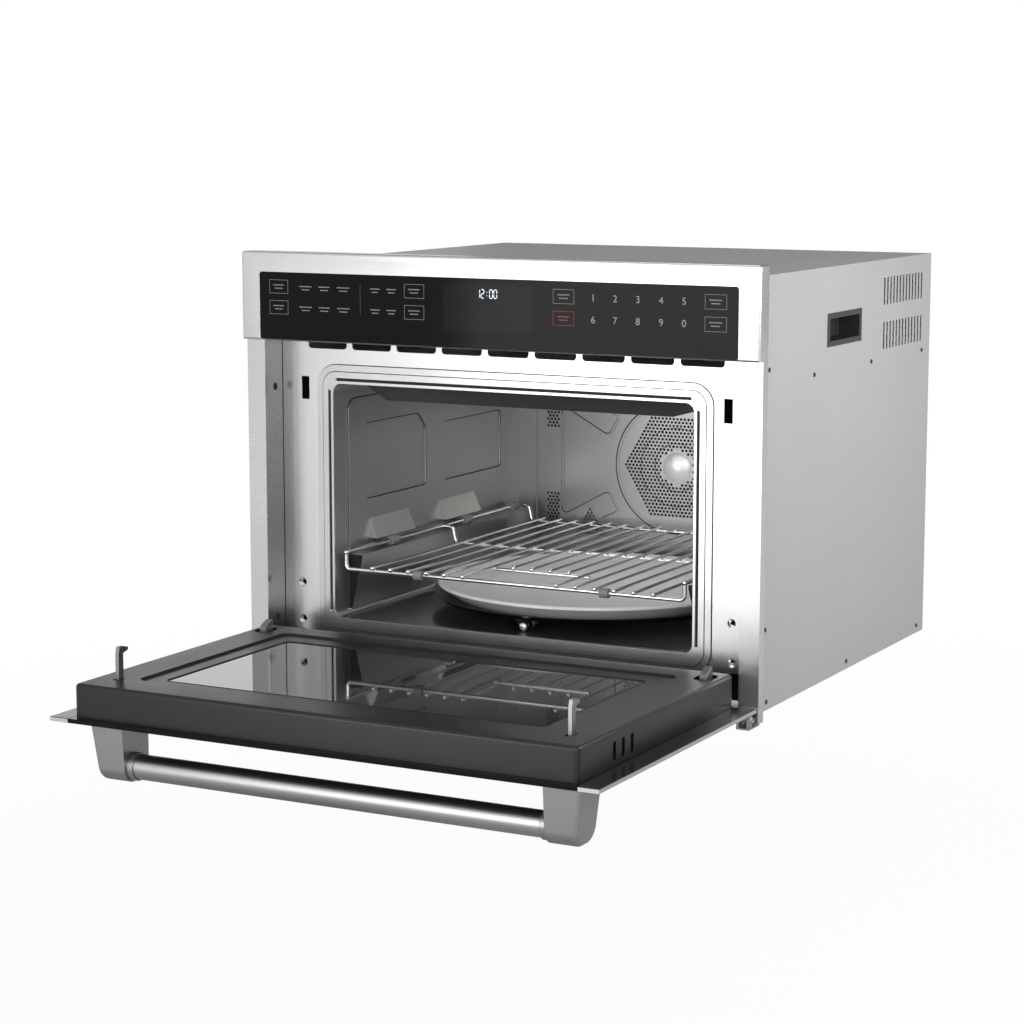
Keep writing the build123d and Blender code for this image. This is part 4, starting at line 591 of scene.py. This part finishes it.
def mouth_lines():
    """The fine dark lines of painted shade round the mouth: where the rim meets the plate, where
    its step meets the rim, where the plate meets the columns, and a dark strip in each of the rim's
    three grooves."""
    seam("rim_line", upright(rounded(**RIM_OUTLINE), PLATE_Y), FRONT, 1.0, 0.25)
    seam("step_line", upright(rounded(**STEP_OUTLINE), RIM_Y), FRONT, 0.8, 0.2)
    top = np.linspace((-TOP_GROOVE_SHADE_HALF, TOP_GROOVE_SHADE_Z), (TOP_GROOVE_SHADE_HALF, TOP_GROOVE_SHADE_Z), 40)
    seam("top_seal", upright(top, GROOVE_Y), FRONT, GROOVE_SHADE_WIDTH, GROOVE_SHADE_PROUD, closed=False)
    for name, sign in SIDES:
        x = sign * SIDE_GROOVE_SHADE_X
        side = upright(np.linspace((x, SIDE_GROOVE_SHADE_LOW), (x, SIDE_GROOVE_SHADE_HIGH), 30), GROOVE_Y)
        seam(name + "_seal", side, FRONT, GROOVE_SHADE_WIDTH, GROOVE_SHADE_PROUD, closed=False)
        x = sign * CORNER_X
        corner = upright(np.linspace((x, CORNER_LOW), (x, CORNER_HIGH), 30), PLATE_Y - 0.2)
        seam(name + "_corner_line", corner, (-sign, -1, 0), 1.0, 0.2, closed=False)


# Name, corner radius, and corners as distance behind the face and height
WALL_LINES = (
    (
        "panel_front",
        5.0,
        ((101.0, 262.5), (214.5, 262.5), (231.5, 245.5), (231.5, 178.8), (101.0, 178.8)),
    ),
    ("panel_rear", 5.0, ((275.0, 246.8), (411.0, 246.8), (411.0, 178.8), (275.0, 178.8))),
    ("bead", 14.0, ((62.0, 130.0), (62.0, 292.5), (438.0, 292.5))),
)


def wall_lines():
    """The dark lines of painted shade on the oven's side walls: along three sides of each pressed
    panel, and beside the bead that frames the wall."""
    for name, sign in SIDES:
        for part, radius, corners in WALL_LINES:
            flat = bent(corners, radius)
            wall = np.full(len(flat), sign * WALL_X)
            path = np.column_stack((wall, FACE_Y + flat[:, 0], flat[:, 1]))
            seam("wall_" + part + "_" + name, path, (-sign, 0, 0), 1.0, 0.25, closed=False)


FAN_RINGS = (("outer", 79.3, 2.0), ("field", 47.0, 0.8), ("middle", 28.5, 0.8))
OUTLINE_LOWER = np.array(((97.0, 116.0), (74.0, 126.0), (89.0, 152.7), (150.5, 119.4)))
OUTLINE_RADIUS = 9.0
OUTLINE_SHIFT = 1.7


def rear_wall_lines():
    """The dark lines of painted shade on the rear wall: beside the ring round the fan's field, two
    finer rings pressed into the field, and beside the outline pressed on each side of it."""
    for name, radius, width in FAN_RINGS:
        seam("fan_ring_" + name, upright(circle(radius, (0.0, FAN_Z)), REAR_Y), FRONT, width, 0.2)
    upper = OUTLINE_LOWER * (1, -1) + (0, 2 * FAN_Z)
    outline = np.concatenate((OUTLINE_LOWER, upper[::-1]))
    for name, sign in SIDES:
        path = upright(bent(outline * (sign, 1), OUTLINE_RADIUS), REAR_Y)
        shift = sign * OUTLINE_SHIFT
        seam("outline_" + name, path, FRONT, 1.1, 0.25, closed=False, shift=shift)


LEDGE_Y = FACE_Y + 62.0
LEDGE_OUTLINE = np.array(
    ((210.6, 123.0), (193.6, 123.0), (193.6, 119.0), (207.4, 63.0), (210.6, 63.0))
)
LEDGE_SIZES = np.array((0.0, 0.94, 1.0, 1.0, 0.0))
LEDGE_DEPTHS = LEDGE_Y + np.array((-0.9, -0.9, -0.5, 0.1, 0.1))
EDGE_STEPS = 8


def ledge_shade_plates():
    """A dark plate of painted shade on the front of each rack ledge: its outline drawn in towards
    its middle in steps, the first and last to a point, so that its rim is rounded."""
    edges = zip(LEDGE_OUTLINE, np.roll(LEDGE_OUTLINE, -1, 0))
    fine = np.concatenate([np.linspace(a, b, EDGE_STEPS, endpoint=False) for a, b in edges])
    middle = fine.mean(axis=0)
    for name, sign in SIDES:
        flat = (middle + LEDGE_SIZES[:, None, None] * (fine - middle)) * (sign, 1)
        depth = np.broadcast_to(LEDGE_DEPTHS[:, None], flat.shape[:2])
        grid = np.stack((flat[..., 0], depth, flat[..., 1]), axis=-1)
        surface("ledge_end_" + name, grid * MM, SOOT_AND_SHADE, "chassis", False)


WINDOW_GROOVE = {"half": 230.6, "low": -133.6, "high": 133.6, "radius": 12.6}
WINDOW_Y = FACE_Y - 171.0
PANE_OUTLINE = {"half": 208.4, "low": -109.9, "high": 109.9, "radius": 6.9}
PANE_Y = FACE_Y - 176.0


def window_lines():
    """A black strip of painted shade in the groove round the door's window, and a finer dark line
    of painted shade round its pane.
    """
    groove = level(rounded(**WINDOW_GROOVE) + (0, WINDOW_Y), BAND_TOP_Z)
    # painted shade at the foot of the window band's groove
    seam("window_groove_shade", groove, TOP, 3.6, 1.2, "door")
    pane = level(rounded(**PANE_OUTLINE) + (0, PANE_Y), BAND_TOP_Z)
    seam("pane_line", pane, TOP, 1.2, 0.4, "door")


HOLE_SHADE_X, HOLE_SHADE_Y = 275.9, FACE_Y + 20.5
HOLE_SHADE_HEIGHTS = (("low", 56.0), ("high", 307.0))
HOLE_SHADE_OUT = np.array((-0.5, -0.5, -0.05, 0.0, 9.0, 9.0))
HOLE_SHADE_RADII = np.array((2.35, 3.3, 4.1, 2.9, 2.9, 2.35))
HOLE_SHADE_STEPS = 28


def hole_shades():
    """A dark plug of painted shade in each side screw hole: a flanged section turned once about the
    hole's axis.
    """
    turn = np.linspace(0, FULL_TURN, HOLE_SHADE_STEPS, endpoint=False)[:, None]
    for name, sign in SIDES:
        for place, height in HOLE_SHADE_HEIGHTS:
            across = np.broadcast_to(sign * (HOLE_SHADE_X + HOLE_SHADE_OUT), (HOLE_SHADE_STEPS, len(HOLE_SHADE_OUT)))
            depth = HOLE_SHADE_Y + np.cos(turn) * HOLE_SHADE_RADII
            grid = np.stack((across, depth, height + np.sin(turn) * HOLE_SHADE_RADII), axis=-1)
            piece = "bush_" + name + "_" + place
            surface(piece, grid * MM, SCREW_AND_HOLE_SHADE, "chassis", True)


SHADE_SHEET_ROWS, SHADE_SHEET_COLUMNS = 12, 16


def shade_sheet(name, corner, along, up, bow):
    """A dark sheet of painted shade: a sheet from a corner along two edges, bowed to one side by
    the product of a sine along each edge, with a thickness of one millimetre and its rim drawn in
    to a line at both ends."""
    corner, along, up, bow = (np.asarray(part, float) for part in (corner, along, up, bow))
    u = np.linspace(0, 1, SHADE_SHEET_COLUMNS)[None, :, None]
    v = np.linspace(0, 1, SHADE_SHEET_ROWS)[:, None, None]
    sheet = corner + u * along + v * up + np.sin(math.pi * u) * np.sin(math.pi * v) * bow
    grid = np.concatenate((sheet, sheet[:, ::-1] + bow / np.linalg.norm(bow)), axis=1)
    middle = grid.mean(axis=1, keepdims=True) + np.zeros_like(grid)
    grid = np.concatenate((middle[:1], grid, middle[-1:]))
    surface(name, grid * MM, PAINTED_SHADE, "chassis", False)


def slot_shades():
    """Dark sheets of painted shade behind the slots in the casing's sides, and behind the
    perforations at the sides of the rear wall."""
    for name, sign in SIDES:
        shade_sheet(
            "slot_felt_" + name,
            corner=(sign * 273.6, FACE_Y + 382.0, 331.0),
            along=(0, 145, 0),
            up=(0, 0, 100),
            bow=(-sign * 3, 0, 0),
        )
        shade_sheet(
            "field_felt_" + name,
            corner=(sign * 150.0, REAR_Y + 1.6, 96.0),
            along=(sign * 30, 0, 0),
            up=(0, 0, 176),
            bow=(0, 1, 0),
        )


CLAW_X, CLAW_Y = 256.0, FACE_Y - 34.5
BEZEL_RADIUS = 10.2
BEZEL_HALF_RUN = 4.5


def claw_fittings():
    """A low bezel round each claw's opening in the door: two half circles a straight run apart."""
    turn = np.linspace(0, FULL_TURN, 40, endpoint=False)
    run = BEZEL_HALF_RUN * np.sign(np.sin(turn))
    for name, sign in SIDES:
        oval = arc(BEZEL_RADIUS, (sign * CLAW_X, CLAW_Y + run), turn)
        seam("claw_bezel_" + name, level(oval, DOOR_BOX_TOP_Z), TOP, 1.0, 0.3, "door", PLASTIC)


mouth_lines()
wall_lines()
ledge_shade_plates()
slot_shades()
claw_fittings()
rear_wall_lines()
window_lines()
hole_shades()


# Printing on the control glass

ZONE_PROUD, PRINT_PROUD, CLOCK_PROUD = 0.02, 0.04, 0.05
BLOCK_SIDES = np.array(
    ((0, 1, 2, 3), (7, 6, 5, 4), (0, 4, 5, 1), (1, 5, 6, 2), (2, 6, 7, 3), (3, 7, 4, 0))
)


def tiles(name, corners, proud, finish):
    """Flat printed marks: each row of corners is one four-sided mark in the X-Z plane, standing a
    hair proud of the glass, as a closed block whose back lies in the glass."""
    corners = np.asarray(corners, float).reshape(-1, 4, 2)
    count = len(corners)
    points = np.empty((count, 8, 3))
    points[:, :4, 0] = points[:, 4:, 0] = corners[:, :, 0]
    points[:, :4, 2] = points[:, 4:, 2] = corners[:, :, 1]
    points[:, :4, 1] = GLASS_Y - proud
    points[:, 4:, 1] = GLASS_Y + proud
    faces = (BLOCK_SIDES[None] + 8 * np.arange(count)[:, None, None]).reshape(-1, 4)
    mesh = bpy.data.meshes.new(name)
    mesh.from_pydata((points * MM).reshape(-1, 3).tolist(), [], faces.tolist())
    show(name, mesh, finish, "chassis")


def bar(left, low, right, high):
    """The corners of an upright rectangle."""
    return [(left, low), (right, low), (right, high), (left, high)]


def ring(left, low, right, high, line):
    """A rectangle drawn as four bars of one line width."""
    return [
        bar(left, low, right, low + line),
        bar(left, high - line, right, high),
        bar(left, low + line, left + line, high - line),
        bar(right - line, low + line, right, high - line),
    ]


KEY_LINE = 0.32
KEY_SPANS = ((-262.5, -239.4), (-97.7, -74.2), (74.2, 97.7), (239.4, 262.5))
KEY_ROWS = ((387.4, 401.8), (409.2, 423.6))
RED_KEY = (KEY_SPANS[2], KEY_ROWS[0])
KEY_LEGEND = 0.6
WORD_COLUMNS = ((-217.5, 15.0), (-194.5, 14.0), (-171.0, 15.0), (-132.5, 12.0), (-113.0, 11.0))
WORD_ROWS = (394.0, 415.6)
WORD_GAP = 1.7
SECOND_LINE = 0.7
DASH, DASH_GAP, DASH_HIGH = 1.5, 0.45, 1.0
DIVIDER = bar(-150.7, 390.0, -150.55, 421.0)
DISPLAY_ZONE = bar(-52.0, 378.5, 52.0, 425.5)
DIGIT_COLUMNS = (118.8, 142.9, 167.7, 192.8, 217.3)
DIGIT_SIZE = 10.0


def dashes(middle, height, width):
    """A row of short equal dashes, centred on its place."""
    pitch = DASH + DASH_GAP
    count = max(2, round(width / pitch))
    starts = middle + (np.arange(count) - count / 2) * pitch
    return [bar(x, height - DASH_HIGH / 2, x + DASH, height + DASH_HIGH / 2) for x in starts]


def line_pair(middle, height, width):
    """Two rows of dashes, one under the other, that stand for the legend of a key."""
    first = dashes(middle, height + WORD_GAP, width)
    return first + dashes(middle, height - WORD_GAP, width * SECOND_LINE)


def panel_print():
    """The framed keys with their legends, the legends between them, and the dividing line."""
    white = [DIVIDER]
    red = []
    for span in KEY_SPANS:
        for row in KEY_ROWS:
            (left, right), (low, high) = span, row
            marks = red if (span, row) == RED_KEY else white
            marks += ring(left, low, right, high, KEY_LINE)
            legend = (right - left) * KEY_LEGEND
            marks += line_pair((left + right) / 2, (low + high) / 2, legend)
    for middle, width in WORD_COLUMNS:
        for height in WORD_ROWS:
            white += line_pair(middle, height, width)
    tiles("panel_print_white", white, PRINT_PROUD, PRINT_PAINTED_GLOW)
    tiles("panel_print_red", red, PRINT_PROUD, PRINT_RED_PAINTED_GLOW)


def figure(text, middle, height, size):
    """A number from the plain built-in typeface as a thin closed mesh on the glass, its face turned
    to the front."""
    curve = bpy.data.curves.new("number_" + text, "FONT")
    curve.body = text
    curve.size = size * MM
    curve.align_x = "CENTER"
    curve.align_y = "CENTER"
    curve.extrude = PRINT_PROUD * MM
    holder = bpy.data.objects.new("number_" + text, curve)
    bpy.context.scene.collection.objects.link(holder)
    bpy.context.view_layer.update()
    solved = holder.evaluated_get(bpy.context.evaluated_depsgraph_get())
    mesh = bpy.data.meshes.new_from_object(solved)
    bpy.data.objects.remove(holder)
    flat = np.empty(len(mesh.vertices) * 3, np.float32)
    mesh.vertices.foreach_get("co", flat)
    x, z, out = flat.reshape(-1, 3).T
    placed = np.column_stack((x + middle * MM, GLASS_Y * MM - out, z + height * MM))
    mesh.vertices.foreach_set("co", placed.astype(np.float32).ravel())
    show("number_" + text, mesh, PRINT_PAINTED_GLOW, "chassis")


# Each bar of a digit: its middle as a share of the width and height, and whether it stands
SEGMENTS = {
    "top": (0.5, 1.0, False),
    "middle": (0.5, 0.5, False),
    "bottom": (0.5, 0.0, False),
    "upper_left": (0.0, 0.75, True),
    "upper_right": (1.0, 0.75, True),
    "lower_left": (0.0, 0.25, True),
    "lower_right": (1.0, 0.25, True),
}
SHAPES = {
    "0": ("top", "bottom", "upper_left", "upper_right", "lower_left", "lower_right"),
    "1": ("upper_right", "lower_right"),
    "2": ("top", "middle", "bottom", "upper_right", "lower_left"),
}
COLON = (0.25, 0.65)
BAR_INSET = 0.6


def clock(text, left, low, width, height, pitch, stroke):
    """Lit digits, each drawn from up to seven bars set round a box, with two dots between the
    pairs."""
    marks = []
    half, inset = stroke / 2, stroke * BAR_INSET
    for place, digit in enumerate(text):
        start = left + place * pitch
        if digit == ":":
            middle = start + width / 2
            feet = [low + height * share for share in COLON]
            marks += [bar(middle - half, foot, middle + half, foot + stroke) for foot in feet]
            continue
        for segment in SHAPES[digit]:
            across, up, standing = SEGMENTS[segment]
            x, z = start + across * width, low + up * height
            half_x = half if standing else width / 2 - inset
            half_z = height / 4 - inset if standing else half
            marks.append(bar(x - half_x, z - half_z, x + half_x, z + half_z))
    tiles("clock_segments", marks, CLOCK_PROUD, CLOCK)


tiles("display_zone", [DISPLAY_ZONE], ZONE_PROUD, LENS)
panel_print()
for row, digits in zip(reversed(WORD_ROWS), ("12345", "67890")):
    for middle, digit in zip(DIGIT_COLUMNS, digits):
        figure(digit, middle, row, DIGIT_SIZE)
clock("12:00", left=-12.5, low=412.0, width=3.4, height=8.6, pitch=4.9, stroke=0.8)


# Studio, in metres

FLOOR_Z = -0.30
FLOOR_RADIUS = 9.0
FLOOR_RINGS, FLOOR_SPOKES = 6, 64
FADE_START, FADE_END = 0.5, 1.9
ROOM_FRONT = (0.10, -0.97, 0.20)
ROOM_STOPS = ((0.0, 0.30), (0.38, 0.40), (0.58, 0.75), (0.78, 1.0), (1.0, 1.0))
SENSOR, FOCAL_LENGTH = 36.0, 90.83
CAMERA_PLACE = (1.249045, -2.585013, 0.588814)
CAMERA_TILT, CAMERA_TURN = 0.15006349, 0.48868908
CAMERA_REACH = 100.0

# Name, place, the point it faces, width and height, and power in watts
LAMPS = (
    ("top_softbox", (0.1, 0.0, 2.2), (0.1, 0.01, 0.4), (1.4, 1.0), 6),
    ("side_softbox", (0.95, -0.02, 0.54), (0.28, 0.0, 0.38), (0.9, 0.2), 7.8),
    ("camera_softbox", (1.5, -3.2, 0.9), (-0.1, 0.0, 0.2), (1.4, 1.2), 32),
    ("front_panel", (-0.66, -2.35, 0.34), (0.2, -0.3, 0.2), (0.9, 1.2), 11),
    ("back_panel", (-1.75, 1.6, 0.58), (-0.25, -0.5, 0.05), (1.2, 0.42), 2.2),
    ("oven_light", (0.03, -0.03, 0.272), (0.03, -0.02, 0.06), (0.30, 0.22), 0.27),
)


def floor_finish():
    """A pale matt sheet that the camera sees as all but white, and that mirrors see as white from
    some way out."""
    finish = Finish("studio_floor", Roughness=0.8)
    finish.set(Base_Color=finish.blend(finish.noise((3, 3, 3)), grey(0.52), grey(0.56)))
    level_place = finish.spread((1, 1, 0))
    away = finish.node("ShaderNodeVectorMath", {"operation": "LENGTH"}, {0: level_place}, 1)
    far = finish.node(
        "ShaderNodeMapRange",
        {"interpolation_type": "SMOOTHSTEP"},
        {"Value": away, "From Min": FADE_START, "From Max": FADE_END},
    )
    camera_ray, glossy = finish.ray_kinds("Is Camera Ray", "Is Glossy Ray")
    seen = camera_ray * (far * 0.04 + 0.96) + glossy * far * 0.8
    matt = Value(finish, finish.shader.outputs[0])
    white = finish.node("ShaderNodeEmission", {}, {"Color": grey(1.0), "Strength": 1.0})
    mixed = finish.node("ShaderNodeMixShader", {}, {0: seen, 1: matt, 2: white})
    finish.feed(finish.tree.nodes["Material Output"].inputs["Surface"], mixed)
    return finish


def floor():
    """A wide disc below the object: rings of points at growing distance, joined into a sheet that
    faces up."""
    radius = np.linspace(0.0, 1.0, FLOOR_RINGS) ** 1.5 * FLOOR_RADIUS
    turn = np.linspace(0, FULL_TURN, FLOOR_SPOKES, endpoint=False)
    height = np.full((FLOOR_RINGS, FLOOR_SPOKES), FLOOR_Z)
    grid = (np.outer(radius, np.cos(turn)), np.outer(radius, np.sin(turn)), height)
    points = np.stack(grid, axis=-1).reshape(-1, 3)
    faces = grid_faces(FLOOR_RINGS, FLOOR_SPOKES, False)[:, ::-1]
    mesh = bpy.data.meshes.new("studio_floor")
    mesh.from_pydata(points.tolist(), [], faces.tolist())
    mesh.materials.append(floor_finish().material)
    piece = bpy.data.objects.new("studio_floor", mesh)
    bpy.context.scene.collection.objects.link(piece)


def surroundings():
    """A soft room, bright in front of the object and dimmer behind it. What looks straight at it
    sees white."""
    world = bpy.data.worlds.new("studio")
    world.use_nodes = True
    bpy.context.scene.world = world
    tree = Tree(world.node_tree)
    direction = tree.node("ShaderNodeTexCoord", {}, {}, "Generated")
    ahead = tree.node(
        "ShaderNodeVectorMath", {"operation": "DOT_PRODUCT"}, {0: direction, 1: ROOM_FRONT}, 1
    )
    room = tree.node("ShaderNodeValToRGB", {"stops": ROOM_STOPS}, {"Fac": ahead * 0.5 + 0.5})
    lit, mirrored, white = (
        tree.node("ShaderNodeBackground", {}, {"Color": colour, "Strength": strength})
        for colour, strength in ((room, 0.55), (room, 0.95), (grey(1.0), 1.0))
    )
    camera_ray, glossy, through = tree.ray_kinds(
        "Is Camera Ray", "Is Glossy Ray", "Is Transmission Ray"
    )
    gloss = tree.node("ShaderNodeMixShader", {}, {0: glossy, 1: lit, 2: mirrored})
    view = tree.node("ShaderNodeMixShader", {}, {0: camera_ray + through, 1: gloss, 2: white})
    tree.feed(world.node_tree.nodes["World Output"].inputs["Surface"], view)


def softbox(name, place, aim, size, power):
    """A rectangular lamp turned to face a point."""
    lamp = bpy.data.lights.new(name, "AREA")
    lamp.shape = "RECTANGLE"
    lamp.size, lamp.size_y = size
    lamp.energy = power
    holder = bpy.data.objects.new(name, lamp)
    bpy.context.scene.collection.objects.link(holder)
    holder.location = place
    ahead = np.array(aim) - np.array(place)
    turn = math.atan2(ahead[0], -ahead[1])
    lift = math.atan2(math.hypot(ahead[0], ahead[1]), -ahead[2])
    holder.rotation_euler = (lift, 0, turn + math.pi)


def camera():
    """The camera that sees the object as the photograph does."""
    lens = bpy.data.cameras.new("photo_camera")
    lens.sensor_width = SENSOR
    lens.lens = FOCAL_LENGTH
    lens.clip_end = CAMERA_REACH
    holder = bpy.data.objects.new("photo_camera", lens)
    bpy.context.scene.collection.objects.link(holder)
    holder.location = CAMERA_PLACE
    holder.rotation_euler = (math.pi / 2 - CAMERA_TILT, 0, CAMERA_TURN)
    bpy.context.scene.camera = holder


floor()
surroundings()
for lamp in LAMPS:
    softbox(*lamp)
camera()
bpy.context.scene.view_settings.view_transform = "Standard"
